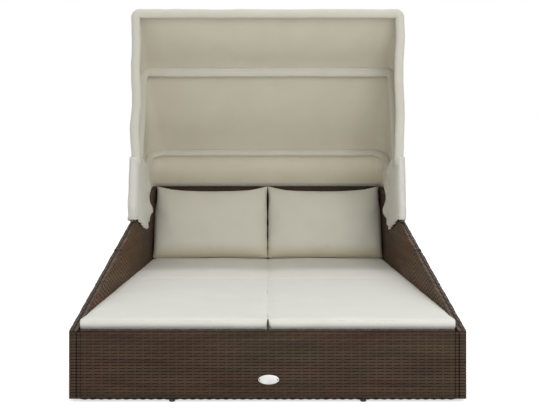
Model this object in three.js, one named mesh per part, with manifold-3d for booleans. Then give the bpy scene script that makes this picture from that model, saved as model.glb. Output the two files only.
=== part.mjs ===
// Outdoor daybed with a folding canopy: woven panels round welded tube frames, a slatted deck on a
// centre beam, two seat cushions, two back pillows, and a cloth hood on three hoops that all turn
// on one pivot bolt above each arm.
// Millimetres, +X to the right, +Y to the back, +Z up, origin on the floor under the middle.
import * as THREE from "three";
import { mergeVertices } from "three/addons/utils/BufferGeometryUtils.js";
import Module from "manifold-3d";

const wasm = await Module();
wasm.setup();

// Overall sizes of the bed
const bedWidth = 1200;
const bedLength = 2000;
const footHeight = 10;
const frontPanelTop = 216;
const armFrontTop = 213;
const backPanelTop = 601;
const armShoulderLength = 110;
const frontSectionLength = 820;

// Clearances shared by all pieces
const fitGap = 0.3;
const cutOverrun = 2;
const weldSink = 0.5;
const mergeDistance = 0.001;

// Panels: a ring of square tube with uprights, inside a woven skin
const tubeSize = 18;
const tubeWall = 1.2;
const weaveThickness = 1.7;
const panelUprightX = 290;

// Feet: a moulded pad with a stem that plugs into the tube above it
const footRadius = 9.5;
const footChamfer = 1.5;
const footStemRadius = 5;
const footStemHeight = 13;
const footSides = 12;
const armFootInset = 60;

// Slatted deck, centre beam and its two legs
const deckTop = 190;
const deckTube = 20;
const deckWall = 1.5;
const slatThickness = 3;
const slatWidth = 30;
const slatPitch = 80;
const drainRadius = 4;
const beamSize = 40;
const legTube = 25;

// Pivot bracket, bolt, nut and washers
const pivotFromBack = 730;
const pivotRise = 46.3;
const boltRadius = 4;
const boltHeadRadius = 7;
const boltHeadHeight = 4.5;
const boltHeadShoulder = 1.5;
const boltEndLength = 1.5;
const nutAcross = 13;
const nutHeight = 5;
const nutSides = 6;
const washerRadius = 9;
const washerThickness = 1.4;
const earThickness = 3;
const earTipRadius = 14;
const earFootLength = 64;
const bracketPlateLength = 92;
const bracketPlateThickness = 3;
const boltSides = 16;

// Hoops: round tube with the leg ends pressed flat for the bolt
const hoopTubeRadius = 8;
const hoopTubeWall = 1.2;
const frontHoopCorner = 25;
const middleHoopCorner = 32;
const rearHoopCorner = 80;
const frontHoopReach = 870;
const middleHoopReach = 689;
const rearHoopReach = 606;
const frontHoopAngle = THREE.MathUtils.degToRad(90.7);
const middleHoopAngle = THREE.MathUtils.degToRad(66.9);
const rearHoopAngle = THREE.MathUtils.degToRad(24.9);
const foldStepAngle = THREE.MathUtils.degToRad(10);
const hoopEyeOverhang = 11;
const hoopFlatThickness = 3;
const hoopFlatWidth = 22;
const hoopFlatLength = 100;
const hoopTaperLength = 30;
const hoopSides = 12;
const cornerSteps = 4;

// Hood cloth: a pocket round each hoop, and panels that lie over the pockets
const clothThickness = 1.2;
const pocketStart = 140;
const pocketWidth = 40;
const pocketDepth = 30;
const pocketOutside = 10;
const pocketFoldGap = 1;
const pocketSides = 12;
const clothStart = 150;
const clothSagShare = 0.035;
const clothEase = 0.8;
const clothSteps = 4;
const hemCornerRadius = 25;

// Pivot covers: a boot of cloth hung over each arm round the pivot
const coverLength = 400;
const coverFrontReach = 56;
const coverTopReach = 230;
const coverHemRise = 12;
const coverHemDrop = 62;
const coverEase = 0.6;
const coverOutsideEase = 6;
const coverWave = 2.5;

// Seat cushions and back pillows
const cushionEndGap = 3;
const cushionThickness = 54;
const cushionMiddleGap = 2;
const cushionSideGap = 3;
const cushionCrown = 5;
const cushionEdgeRound = 12;
const cushionCornerDraw = 9;
const cushionCrease = 4;
const pillowSideGap = 3;
const pillowHeight = 390;
const pillowThickness = 130;
const pillowSeam = 6;
const pillowSideDraw = 6;
const pillowTopDraw = 22;
const pillowLean = THREE.MathUtils.degToRad(26);

// Colours from the photograph
const weaveLook = { color: 0x43372e, roughness: 0.6, metalness: 0 };
const steelLook = { color: 0x2b2826, roughness: 0.5, metalness: 0.6 };
const zincLook = { color: 0xa9a9a6, roughness: 0.35, metalness: 0.9 };
const footLook = { color: 0x1c1b1a, roughness: 0.7, metalness: 0 };
const clothLook = { color: 0xdedac9, roughness: 0.9, metalness: 0 };
const cushionLook = { color: 0xe2e0d6, roughness: 0.9, metalness: 0 };

// Places worked out from the sizes above
const panelThickness = tubeSize + 2 * (weaveThickness + fitGap);
const front = -bedLength / 2;
const back = bedLength / 2;
const armX = bedWidth / 2 - panelThickness / 2;
const insideX = bedWidth / 2 - panelThickness;
const innerFront = front + panelThickness;
const innerBack = back - panelThickness;
const sectionY = front + frontSectionLength;
const shoulderY = back - armShoulderLength;
const armSlope = (backPanelTop - armFrontTop) / (bedLength - armShoulderLength);
const pivotY = back - pivotFromBack;
const pivotZ = armTop(pivotY) + pivotRise;
const boltHole = boltRadius + fitGap;
const eyePitch = hoopFlatThickness + washerThickness + 2 * fitGap;
const earInside = eyePitch + hoopFlatThickness / 2 + fitGap;
const earOutside = earInside + earThickness;

// Height of an arm's top edge, which rises from the front and runs level behind the shoulder
function armTop(y) {
  return Math.min(backPanelTop, armFrontTop + armSlope * (y - front));
}

// Solids for joins and cuts
function solidFrom(geometry) {
  const bare = geometry.index ? geometry.toNonIndexed() : geometry.clone();
  bare.deleteAttribute("normal");
  bare.deleteAttribute("uv");
  const merged = mergeVertices(bare, mergeDistance);
  const mesh = new wasm.Mesh({
    numProp: 3,
    vertProperties: merged.attributes.position.array,
    triVerts: new Uint32Array(merged.index.array),
  });
  return new wasm.Manifold(mesh);
}

function geometryFrom(solid) {
  const mesh = solid.getMesh();
  const indexed = new THREE.BufferGeometry();
  indexed.setAttribute("position", new THREE.BufferAttribute(mesh.vertProperties, 3));
  indexed.setIndex(new THREE.BufferAttribute(mesh.triVerts, 1));
  const geometry = indexed.toNonIndexed();
  geometry.computeVertexNormals();
  return geometry;
}

function joined(solids) {
  return solids.reduce((whole, solid) => whole.add(solid));
}

// A box between two values along each axis
function block([x0, x1], [y0, y1], [z0, z1]) {
  const geometry = new THREE.BoxGeometry(x1 - x0, y1 - y0, z1 - z0);
  geometry.translate((x0 + x1) / 2, (y0 + y1) / 2, (z0 + z1) / 2);
  return solidFrom(geometry);
}

// A round bar along Y, standing on y0
function post(radius, y0, y1, x, z, sides) {
  const geometry = new THREE.CylinderGeometry(radius, radius, y1 - y0, sides);
  geometry.translate(x, (y0 + y1) / 2, z);
  return solidFrom(geometry);
}

// A flat outline in X and Y, as thick as given about Z = 0
function slab(outline, thickness) {
  const shape = new THREE.Shape(outline.map(([x, y]) => new THREE.Vector2(x, y)));
  const geometry = new THREE.ExtrudeGeometry(shape, { depth: thickness, bevelEnabled: false });
  geometry.translate(0, 0, -thickness / 2);
  return solidFrom(geometry);
}

// The same outline, whose corners run anticlockwise, drawn in all round
function inset(outline, distance) {
  const edges = outline.map((corner, i) => {
    const start = new THREE.Vector2(...corner);
    const along = new THREE.Vector2(...outline[(i + 1) % outline.length]).sub(start).normalize();
    const inward = new THREE.Vector2(-along.y, along.x);
    return { start: start.addScaledVector(inward, distance), along };
  });
  return edges.map((edge, i) => {
    const before = edges[(i + edges.length - 1) % edges.length];
    const across = edge.start.clone().sub(before.start);
    const run = across.cross(edge.along) / before.along.cross(edge.along);
    const corner = before.start.clone().addScaledVector(before.along, run);
    return [corner.x, corner.y];
  });
}

// Surfaces given as grids of points
function quadStrip(triangles, a, b, c, d) {
  triangles.push(a, b, c, a, c, d);
}

function geometryOf(points, triangles) {
  const indexed = new THREE.BufferGeometry();
  indexed.setAttribute(
    "position",
    new THREE.Float32BufferAttribute(points.flatMap((p) => p.toArray()), 3),
  );
  indexed.setIndex(triangles);
  const geometry = indexed.toNonIndexed();
  geometry.computeVertexNormals();
  return geometry;
}

// A closed solid between an upper and a lower grid, joined by a rim all round. Seen from above,
// a quarter turn anticlockwise leads from the way the columns run to the way the rows run.
function padBetween(upper, lower) {
  const rows = upper.length;
  const columns = upper[0].length;
  const at = (i, j) => i * columns + j;
  const under = (i, j) => rows * columns + at(i, j);
  const triangles = [];
  for (let i = 0; i + 1 < rows; i++) {
    for (let j = 0; j + 1 < columns; j++) {
      quadStrip(triangles, at(i, j), at(i, j + 1), at(i + 1, j + 1), at(i + 1, j));
      quadStrip(triangles, under(i, j), under(i + 1, j), under(i + 1, j + 1), under(i, j + 1));
    }
    const last = columns - 1;
    quadStrip(triangles, at(i, 0), at(i + 1, 0), under(i + 1, 0), under(i, 0));
    quadStrip(triangles, at(i, last), under(i, last), under(i + 1, last), at(i + 1, last));
  }
  for (let j = 0; j + 1 < columns; j++) {
    const last = rows - 1;
    quadStrip(triangles, at(0, j), under(0, j), under(0, j + 1), at(0, j + 1));
    quadStrip(triangles, at(last, j), at(last, j + 1), under(last, j + 1), under(last, j));
  }
  return geometryOf([...upper.flat(), ...lower.flat()], triangles);
}

// A pipe whose outer and inner rings are joined at both open ends
function pipeBetween(outer, inner) {
  const rings = outer.length;
  const sides = outer[0].length;
  const at = (i, j) => i * sides + (j % sides);
  const inside = (i, j) => rings * sides + at(i, j);
  const triangles = [];
  for (let j = 0; j < sides; j++) {
    for (let i = 0; i + 1 < rings; i++) {
      quadStrip(triangles, at(i, j), at(i, j + 1), at(i + 1, j + 1), at(i + 1, j));
      quadStrip(triangles, inside(i, j), inside(i + 1, j), inside(i + 1, j + 1), inside(i, j + 1));
    }
    const last = rings - 1;
    quadStrip(triangles, at(0, j), inside(0, j), inside(0, j + 1), at(0, j + 1));
    quadStrip(triangles, at(last, j), at(last, j + 1), inside(last, j + 1), inside(last, j));
  }
  return geometryOf([...outer.flat(), ...inner.flat()], triangles);
}

// Meshes and their places
const bed = new THREE.Group();

function addMesh(name, geometry, look, parent = bed) {
  const mesh = new THREE.Mesh(geometry, new THREE.MeshStandardMaterial(look));
  mesh.name = name;
  parent.add(mesh);
  return mesh;
}

function addGroup(x, y, z) {
  const group = new THREE.Group();
  group.position.set(x, y, z);
  bed.add(group);
  return group;
}

// Calls a maker for the right side, whose X is positive, and the left
function onBothSides(make) {
  make("right", 1);
  make("left", -1);
}

// Feet
function footGeometry() {
  const profile = [
    [0, 0],
    [footRadius - footChamfer, 0],
    [footRadius, footChamfer],
    [footRadius, footHeight - fitGap],
    [footStemRadius, footHeight - fitGap],
    [footStemRadius, footHeight + footStemHeight],
    [0, footHeight + footStemHeight],
  ];
  return new THREE.LatheGeometry(
    profile.map(([r, y]) => new THREE.Vector2(r, y)),
    footSides,
  );
}

function stemHoles(places, bottom, depth) {
  const radius = footStemRadius + fitGap;
  const cutters = places.map((x) => {
    return post(radius, bottom - cutOverrun, bottom + depth + cutOverrun, x, 0, footSides);
  });
  return joined(cutters);
}

// One panel, built flat with its length along X and its height along Y
function wovenSkin(outline, feet) {
  const hollow = slab(inset(outline, weaveThickness), panelThickness - 2 * weaveThickness);
  const skin = slab(outline, panelThickness).subtract(hollow);
  return geometryFrom(skin.subtract(stemHoles(feet, footHeight, weaveThickness)));
}

function weldedFrame(outline, uprights, feet) {
  const outer = inset(outline, weaveThickness + fitGap);
  const boreDepth = tubeSize - 2 * tubeWall;
  const whole = slab(outer, tubeSize);
  const wholeBore = slab(inset(outer, tubeWall), boreDepth);
  const window = slab(inset(outer, tubeSize), tubeSize + 2 * cutOverrun);
  const boreWindow = slab(inset(outer, tubeSize - tubeWall), tubeSize);
  const tall = [0, Math.max(...outline.map(([, y]) => y))];
  const deep = [-panelThickness, panelThickness];
  const bars = [whole.subtract(window)];
  const bores = [wholeBore.subtract(boreWindow)];
  for (const x of uprights) {
    const half = tubeSize / 2;
    bars.push(whole.intersect(block([x - half, x + half], tall, deep)));
    const boreHalf = half - tubeWall;
    bores.push(wholeBore.intersect(block([x - boreHalf, x + boreHalf], tall, deep)));
  }
  const tubes = joined(bars).subtract(joined(bores));
  const floorOfTube = footHeight + weaveThickness + fitGap;
  return geometryFrom(tubes.subtract(stemHoles(feet, floorOfTube, tubeWall)));
}

function rectangle(x0, x1, y0, y1) {
  return [
    [x0, y0],
    [x1, y0],
    [x1, y1],
    [x0, y1],
  ];
}

// Front and back panels, which stand between the arms
function addCrossPanel(name, y, top) {
  const group = addGroup(0, y, 0);
  group.rotation.x = Math.PI / 2;
  const half = insideX - fitGap;
  const outline = rectangle(-half, half, footHeight, top);
  const feet = [-panelUprightX, panelUprightX];
  addMesh(`${name}_panel_weave`, wovenSkin(outline, feet), weaveLook, group);
  addMesh(`${name}_panel_frame`, weldedFrame(outline, feet, feet), steelLook, group);
  onBothSides((side, sign) => {
    const foot = addMesh(`foot_${name}_${side}`, footGeometry(), footLook, group);
    foot.position.x = sign * panelUprightX;
  });
}

// Arms, each in a front and a rear section that meet at sectionY
function addArm(side, sign) {
  const group = addGroup(sign * armX, 0, 0);
  group.rotation.set(Math.PI / 2, 0, Math.PI / 2, "ZYX");
  const frontEnd = sectionY - fitGap / 2;
  const rearStart = sectionY + fitGap / 2;
  const frontOutline = [
    [front, footHeight],
    [frontEnd, footHeight],
    [frontEnd, armTop(frontEnd)],
    [front, armTop(front)],
  ];
  const rearOutline = [
    [rearStart, footHeight],
    [back, footHeight],
    [back, backPanelTop],
    [shoulderY, backPanelTop],
    [rearStart, armTop(rearStart)],
  ];
  const frontFeet = [front + armFootInset];
  const rearFeet = [rearStart + armFootInset, back - armFootInset];
  const frontUpright = (front + sectionY) / 2;
  const skins = {
    front: [frontOutline, frontFeet, [frontUpright]],
    rear: [rearOutline, rearFeet, [pivotY, (pivotY + back) / 2]],
  };
  for (const [section, [outline, feet, uprights]] of Object.entries(skins)) {
    const skin = wovenSkin(outline, feet);
    const frame = weldedFrame(outline, uprights, feet);
    addMesh(`side_${section}_weave_${side}`, skin, weaveLook, group);
    addMesh(`side_${section}_frame_${side}`, frame, steelLook, group);
  }
  const places = { front: frontFeet[0], middle: rearFeet[0], rear: rearFeet[1] };
  for (const [place, y] of Object.entries(places)) {
    const foot = addMesh(`foot_arm_${place}_${side}`, footGeometry(), footLook, group);
    foot.position.x = y;
  }
}

// Seat deck: a welded ring and centre rail with flat slats across, one frame for each section
const deckRingTop = deckTop - slatThickness;
const deckRingBottom = deckRingTop - deckTube;

function deckFrame(y0, y1) {
  const half = insideX - fitGap;
  const z = [deckRingBottom, deckRingTop];
  const rails = [
    block([-half, half], [y0, y0 + deckTube], z),
    block([-half, half], [y1 - deckTube, y1], z),
    block([-half, -half + deckTube], [y0, y1], z),
    block([half - deckTube, half], [y0, y1], z),
    block([-deckTube / 2, deckTube / 2], [y0, y1], z),
  ];
  const boreZ = [deckRingBottom + deckWall, deckRingTop - deckWall];
  const bore = deckTube - 2 * deckWall;
  const left = -half + deckWall;
  const right = half - deckWall;
  const near = y0 + deckWall;
  const far = y1 - deckWall;
  const bores = [
    block([left, right], [near, near + bore], boreZ),
    block([left, right], [far - bore, far], boreZ),
    block([left, left + bore], [near, far], boreZ),
    block([right - bore, right], [near, far], boreZ),
    block([-bore / 2, bore / 2], [near, far], boreZ),
  ];
  const hollow = joined(rails).subtract(joined(bores));
  const drain = block(
    [-drainRadius, drainRadius],
    [near, near + bore],
    [deckRingBottom - cutOverrun, deckRingBottom + deckWall + cutOverrun],
  );
  return hollow.subtract(drain).add(slats(y0, y1, half));
}

function slats(y0, y1, half) {
  const steps = Math.max(1, Math.round((y1 - y0 - slatWidth) / slatPitch));
  const run = (y1 - y0 - slatWidth) / steps;
  const z = [deckRingTop - weldSink, deckTop];
  const bars = [];
  for (let i = 0; i <= steps; i++) {
    const start = y0 + i * run;
    bars.push(block([-half, half], [start, start + slatWidth], z));
  }
  return joined(bars);
}

function addDeck() {
  const frontDeck = deckFrame(innerFront + fitGap, sectionY - fitGap / 2);
  const rearDeck = deckFrame(sectionY + fitGap / 2, innerBack - fitGap);
  addMesh("seat_deck_front", geometryFrom(frontDeck), steelLook);
  addMesh("seat_deck_rear", geometryFrom(rearDeck), steelLook);
}

// The centre beam carries both decks where they meet, and stands on two legs
const beamTop = deckRingBottom - fitGap;
const beamBottom = beamTop - beamSize;

function addBeam() {
  const half = insideX - fitGap;
  const y = [sectionY - beamSize / 2, sectionY + beamSize / 2];
  const boreY = [y[0] + deckWall, y[1] - deckWall];
  const boreZ = [beamBottom + deckWall, beamTop - deckWall];
  const bore = block([-half - cutOverrun, half + cutOverrun], boreY, boreZ);
  const beam = block([-half, half], y, [beamBottom, beamTop]).subtract(bore);
  addMesh("centre_beam", geometryFrom(beam), steelLook);
}

function legGeometry() {
  const half = legTube / 2;
  const boreHalf = half - deckWall;
  const top = beamBottom - fitGap;
  const tube = block([-half, half], [footHeight, top], [-half, half]);
  const boreY = [footHeight + deckWall, top + cutOverrun];
  const bore = block([-boreHalf, boreHalf], boreY, [-boreHalf, boreHalf]);
  return geometryFrom(tube.subtract(bore).subtract(stemHoles([0], footHeight, deckWall)));
}

function addLeg(side, sign) {
  const group = addGroup(sign * panelUprightX, sectionY, 0);
  group.rotation.x = Math.PI / 2;
  addMesh(`centre_leg_${side}`, legGeometry(), steelLook, group);
  addMesh(`foot_centre_${side}`, footGeometry(), footLook, group);
}

// Pivot bracket: two ears on a base plate that lies on the sloping arm, built round the pivot
function bracketGeometry(baseDepth) {
  const halfFoot = earFootLength / 2;
  const lean = Math.atan2(baseDepth, halfFoot);
  const reach = Math.hypot(baseDepth, halfFoot);
  const tangent = lean - Math.acos(earTipRadius / reach);
  const shape = new THREE.Shape();
  shape.moveTo(halfFoot, -baseDepth);
  shape.absarc(0, 0, earTipRadius, -tangent, Math.PI + tangent, false);
  shape.lineTo(-halfFoot, -baseDepth);
  shape.closePath();
  const ear = new THREE.ExtrudeGeometry(shape, {
    depth: earThickness,
    bevelEnabled: false,
    curveSegments: cornerSteps * 2,
  });
  ear.rotateX(Math.PI / 2);
  ear.rotateZ(Math.PI / 2);
  const places = [earInside, -earOutside];
  const ears = places.map((x) => {
    const placed = ear.clone();
    placed.translate(x, 0, 0);
    return solidFrom(placed);
  });
  const half = bracketPlateLength / 2;
  const z = [-baseDepth, -baseDepth + bracketPlateThickness];
  const plate = block([-earOutside, earOutside], [-half, half], z);
  const bore = boltBore(earOutside + cutOverrun).rotate([0, 0, 90]);
  return geometryFrom(joined([...ears, plate]).subtract(bore));
}

// Bolt, nut and washers, built along Y and laid along X by their group
function boltBore(reach) {
  return post(boltHole, -reach, reach, 0, 0, boltSides);
}

function boltGeometry() {
  const seat = earOutside + fitGap;
  const end = -(earOutside + fitGap + nutHeight + boltEndLength);
  const profile = [
    [0, end],
    [boltRadius, end],
    [boltRadius, seat],
    [boltHeadRadius, seat],
    [boltHeadRadius, seat + boltHeadShoulder],
    [boltHeadRadius - boltHeadShoulder, seat + 2 * boltHeadShoulder],
    [0, seat + boltHeadHeight],
  ];
  return new THREE.LatheGeometry(
    profile.map(([r, y]) => new THREE.Vector2(r, y)),
    boltSides,
  );
}

function nutGeometry() {
  const start = -(earOutside + fitGap);
  const radius = nutAcross / Math.sqrt(3);
  const nut = post(radius, start - nutHeight, start, 0, 0, nutSides);
  return geometryFrom(nut.subtract(boltBore(nutHeight + cutOverrun - start)));
}

function washerGeometry(centre) {
  const half = washerThickness / 2;
  const disc = post(washerRadius, centre - half, centre + half, 0, 0, boltSides);
  return geometryFrom(disc.subtract(boltBore(earOutside)));
}

function addPivot(side, sign) {
  const slope = Math.atan(armSlope);
  const bracketGroup = addGroup(sign * armX, pivotY, pivotZ);
  bracketGroup.rotation.x = slope;
  const baseDepth = pivotRise * Math.cos(slope) - fitGap;
  addMesh(`pivot_bracket_${side}`, bracketGeometry(baseDepth), steelLook, bracketGroup);
  const boltGroup = addGroup(sign * armX, pivotY, pivotZ);
  boltGroup.rotation.z = (-sign * Math.PI) / 2;
  addMesh(`pivot_bolt_${side}`, boltGeometry(), zincLook, boltGroup);
  addMesh(`pivot_nut_${side}`, nutGeometry(), zincLook, boltGroup);
  const between = eyePitch / 2;
  addMesh(`pivot_washer_outer_${side}`, washerGeometry(between), zincLook, boltGroup);
  addMesh(`pivot_washer_inner_${side}`, washerGeometry(-between), zincLook, boltGroup);
}

// Stations along one half of a hoop, from the right leg's end to the middle of the top bar.
// Each has its place in the hoop's plane, the way that faces out of the hoop, and the distance
// from the pivot that sets how flat the tube and how narrow the pocket is there.
function halfHoop({ reach, corner }, legPlaces) {
  const stations = legPlaces.map((r) => station(armX, r, 0, r));
  for (let i = 0; i <= cornerSteps; i++) {
    const turn = (i / cornerSteps) * (Math.PI / 2);
    const x = armX - corner + corner * Math.cos(turn);
    const r = reach - corner + corner * Math.sin(turn);
    stations.push(station(x, r, turn, r));
  }
  return stations;
}

function station(x, r, turn, fromPivot) {
  return { x, r, outX: Math.cos(turn), outR: Math.sin(turn), fromPivot };
}

function mirrored({ x, r, outX, outR, fromPivot }) {
  return { x: -x, r, outX: -outX, outR, fromPivot };
}

function wholeHoop(hoop, legPlaces, barSteps = 1) {
  const right = halfHoop(hoop, legPlaces);
  const end = right[right.length - 1];
  const between = [];
  for (let i = 1; i < barSteps; i++) {
    const x = end.x * (1 - (2 * i) / barSteps);
    between.push(station(x, hoop.reach, Math.PI / 2, hoop.reach));
  }
  return [...right, ...between, ...right.map(mirrored).reverse()];
}

// Point at a station, offset outward in the hoop's plane and across it
function pointAt(place, out, across) {
  return new THREE.Vector3(place.x + place.outX * out, place.r + place.outR * out, across);
}

// Hoop tubes, whose walls meet in the middle where the leg ends are pressed flat
const flatEdgeShare = 3;

function hoopSection(place, eyeOffset, wall) {
  const flatness = THREE.MathUtils.clamp(
    (hoopFlatLength + hoopTaperLength - place.fromPivot) / hoopTaperLength,
    0,
    1,
  );
  const radius = hoopTubeRadius - wall;
  const flatHalf = hoopFlatThickness / 2 - wall;
  const flatWidthHalf = hoopFlatWidth / 2 - wall;
  const points = [];
  for (let k = 0; k < hoopSides; k++) {
    const angle = ((k + 0.5) / hoopSides) * 2 * Math.PI;
    const level = THREE.MathUtils.clamp(Math.sin(angle) * flatEdgeShare, -1, 1);
    const out = THREE.MathUtils.lerp(radius * Math.sin(angle), flatHalf * level, flatness);
    const acrossRound = radius * Math.cos(angle);
    const across = THREE.MathUtils.lerp(acrossRound, flatWidthHalf * Math.cos(angle), flatness);
    points.push(pointAt(place, out + eyeOffset * flatness, across));
  }
  return points;
}

function hoopGeometry(hoop) {
  const taperEnd = hoopFlatLength + hoopTaperLength;
  const taperMiddle = hoopFlatLength + hoopTaperLength / 2;
  const legPlaces = [-hoopEyeOverhang, hoopFlatLength, taperMiddle, taperEnd];
  const places = wholeHoop(hoop, legPlaces);
  const outer = places.map((place) => hoopSection(place, hoop.eyeOffset, 0));
  const inner = places.map((place) => hoopSection(place, hoop.eyeOffset, hoopTubeWall));
  const tube = solidFrom(pipeBetween(outer, inner));
  const bore = boltBore(bedWidth / 2).rotate([0, 0, 90]);
  return geometryFrom(tube.subtract(bore));
}

// Cloth pockets: narrow near the pivot, so that folded hoops lie side by side
function pocketAt(place) {
  const foldedHalf = place.fromPivot * Math.sin(foldStepAngle / 2) - pocketFoldGap;
  const across = Math.min(pocketWidth / 2, foldedHalf);
  const fullShare = (across - pocketOutside) / (pocketWidth / 2 - pocketOutside);
  const drop = (pocketDepth / 2 - pocketOutside) * fullShare;
  return { across, out: pocketOutside + drop, centre: -drop };
}

function pocketSection(place, wall) {
  const pocket = pocketAt(place);
  const points = [];
  for (let k = 0; k < pocketSides; k++) {
    const angle = (k / pocketSides) * 2 * Math.PI;
    const out = pocket.centre + (pocket.out - wall) * Math.sin(angle);
    points.push(pointAt(place, out, (pocket.across - wall) * Math.cos(angle)));
  }
  return points;
}

function pocketGeometry(hoop) {
  const fullFrom = (pocketWidth / 2 + pocketFoldGap) / Math.sin(foldStepAngle / 2);
  const places = wholeHoop(hoop, [pocketStart, fullFrom]);
  const outer = places.map((place) => pocketSection(place, 0));
  const inner = places.map((place) => pocketSection(place, clothThickness));
  return pipeBetween(outer, inner);
}

const hoops = {
  front: {
    reach: frontHoopReach,
    corner: frontHoopCorner,
    angle: frontHoopAngle,
    eyeOffset: eyePitch,
  },
  middle: {
    reach: middleHoopReach,
    corner: middleHoopCorner,
    angle: middleHoopAngle,
    eyeOffset: 0,
  },
  rear: {
    reach: rearHoopReach,
    corner: rearHoopCorner,
    angle: rearHoopAngle,
    eyeOffset: -eyePitch,
  },
};

function addHoop(name) {
  const hoop = hoops[name];
  const group = addGroup(0, pivotY, pivotZ);
  group.rotation.x = hoop.angle;
  addMesh(`${name}_hoop`, hoopGeometry(hoop), steelLook, group);
  addMesh(`${name}_hoop_pocket`, pocketGeometry(hoop), clothLook, group);
}

// Hood panels: each lies over two pockets like a belt over two pulleys
function edgeOnHoop(name) {
  const hoop = hoops[name];
  const { reach, corner, angle } = hoop;
  const legPlaces = [clothStart, (clothStart + reach - corner) / 2];
  const radial = new THREE.Vector3(0, Math.cos(angle), Math.sin(angle));
  const across = new THREE.Vector3(0, -Math.sin(angle), Math.cos(angle));
  const pivot = new THREE.Vector3(0, pivotY, pivotZ);
  return wholeHoop(hoop, legPlaces, clothSteps).map((place) => {
    const pocket = pocketAt(place);
    const out = radial.clone().multiplyScalar(place.outR);
    out.x = place.outX;
    const centre = pivot.clone().addScaledVector(radial, place.r);
    centre.x = place.x;
    centre.addScaledVector(out, pocket.centre);
    return { centre, out, across, halfOut: pocket.out, halfAcross: pocket.across };
  });
}

// The lowest panel ends in a hem that lies along the arm tops and the back panel's top
function edgeOnPanels() {
  const hemCorner = armX - hemCornerRadius;
  const cornerY = armX + innerBack - insideX;
  const legEnd = cornerY - hemCornerRadius;
  const right = [pivotY + clothStart, shoulderY].map((y) => hemPoint(armX, y, 0));
  for (let i = 0; i <= cornerSteps; i++) {
    const turn = (i / cornerSteps) * (Math.PI / 2);
    const x = hemCorner + hemCornerRadius * Math.cos(turn);
    right.push(hemPoint(x, legEnd + hemCornerRadius * Math.sin(turn), turn));
  }
  const bar = [];
  for (let i = 1; i < clothSteps; i++) {
    bar.push(hemPoint(hemCorner * (1 - (2 * i) / clothSteps), cornerY, Math.PI / 2));
  }
  const left = right.map(({ centre, out }) => {
    const flip = new THREE.Vector3(-1, 1, 1);
    return bareEdge(centre.clone().multiply(flip), out.clone().multiply(flip));
  });
  return [...right, ...bar, ...left.reverse()];
}

function hemPoint(x, y, turn) {
  const centre = new THREE.Vector3(x, y, armTop(y) + fitGap);
  return bareEdge(centre, new THREE.Vector3(Math.cos(turn), Math.sin(turn), 0));
}

function bareEdge(centre, out) {
  return { centre, out, across: new THREE.Vector3(0, 0, 1), halfOut: 0, halfAcross: 0 };
}

// The point of a pocket that lies furthest out in a direction
function restPoint(edge, direction) {
  const out = direction.dot(edge.out) * edge.halfOut;
  const across = direction.dot(edge.across) * edge.halfAcross;
  const size = Math.hypot(out, across);
  if (size === 0) return edge.centre.clone();
  return edge.centre
    .clone()
    .addScaledVector(edge.out, (out / size) * edge.halfOut)
    .addScaledVector(edge.across, (across / size) * edge.halfAcross);
}

// The way a pocket faces where cloth leaves it in a straight line along the chord
function beltNormal(edge, chord) {
  const normal = edge.out.clone().multiplyScalar(edge.across.dot(chord));
  normal.addScaledVector(edge.across, -edge.out.dot(chord)).normalize();
  return normal.dot(edge.out) < 0 ? normal.negate() : normal;
}

function chordBetween(start, end) {
  return end.centre.clone().sub(start.centre).normalize();
}

// Each edge point gets the place where cloth rests there, halfway between the panels it joins
function restedEdges(edges) {
  return edges.map((edge, k) => {
    return edge.map((place, i) => {
      const facing = new THREE.Vector3();
      if (k > 0) facing.add(beltNormal(place, chordBetween(edges[k - 1][i], place)));
      if (k + 1 < edges.length) facing.add(beltNormal(place, chordBetween(place, edges[k + 1][i])));
      facing.normalize();
      return { facing, rest: restPoint(place, facing) };
    });
  });
}

function hoodPanel(startEdge, endEdge) {
  const outer = [];
  const inner = [];
  startEdge.forEach((start, i) => {
    const end = endEdge[i];
    const run = end.rest.clone().sub(start.rest);
    const sag = clothSagShare * run.length();
    const seam = fitGap / 2 / run.length();
    const outerRow = [];
    const innerRow = [];
    for (let j = 0; j <= clothSteps; j++) {
      const share = THREE.MathUtils.clamp(j / clothSteps, seam, 1 - seam);
      const facing = start.facing.clone().lerp(end.facing, share).normalize();
      const inward = sag * Math.sin(Math.PI * share) ** 2;
      const place = start.rest.clone().addScaledVector(run, share);
      place.addScaledVector(facing, clothEase - inward);
      innerRow.push(place);
      outerRow.push(place.clone().addScaledVector(facing, clothThickness));
    }
    outer.push(outerRow);
    inner.push(innerRow);
  });
  return padBetween(outer, inner);
}

function addHoodCloth() {
  const hoopEdges = Object.keys(hoops).map(edgeOnHoop);
  const edges = restedEdges([...hoopEdges, edgeOnPanels()]);
  ["hood_roof", "hood_back", "hood_lower"].forEach((name, k) => {
    addMesh(name, hoodPanel(edges[k], edges[k + 1]), clothLook);
  });
}

// Pivot covers: the path runs forward along the outside, round the front and back along the inside
const coverRunShares = [1.2, 1, 0.88, 0.75, 0.5, 0.25, 0.06];
const coverTopShares = [0.14, 0.66, 0.8, 0.875, 0.95, 1, 1];
const coverHemShares = [-0.1, 0.5, 0.8, 1, 0.75, 0.42, 0.12];
const coverHeightShares = [0, 0.25, 0.5, 0.75, 1];
const coverCornerShare = 0.15;

const pocketInsideX = armX - (pocketDepth - pocketOutside);
const coverInsideX = pocketInsideX - coverEase;
const coverOutsideX = bedWidth / 2 + coverOutsideEase;
const coverOutsideTopX = armX + pocketOutside + clothEase + clothThickness + coverEase;
const coverFrontY = pivotY - coverFrontReach;
const coverHem = armTop(coverFrontY) + coverHemRise;
const coverTop = pivotZ + coverTopReach;
const coverTopFrontY =
  pivotY + coverTopReach / Math.tan(frontHoopAngle) - pocketWidth / 2 - coverEase;

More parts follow.
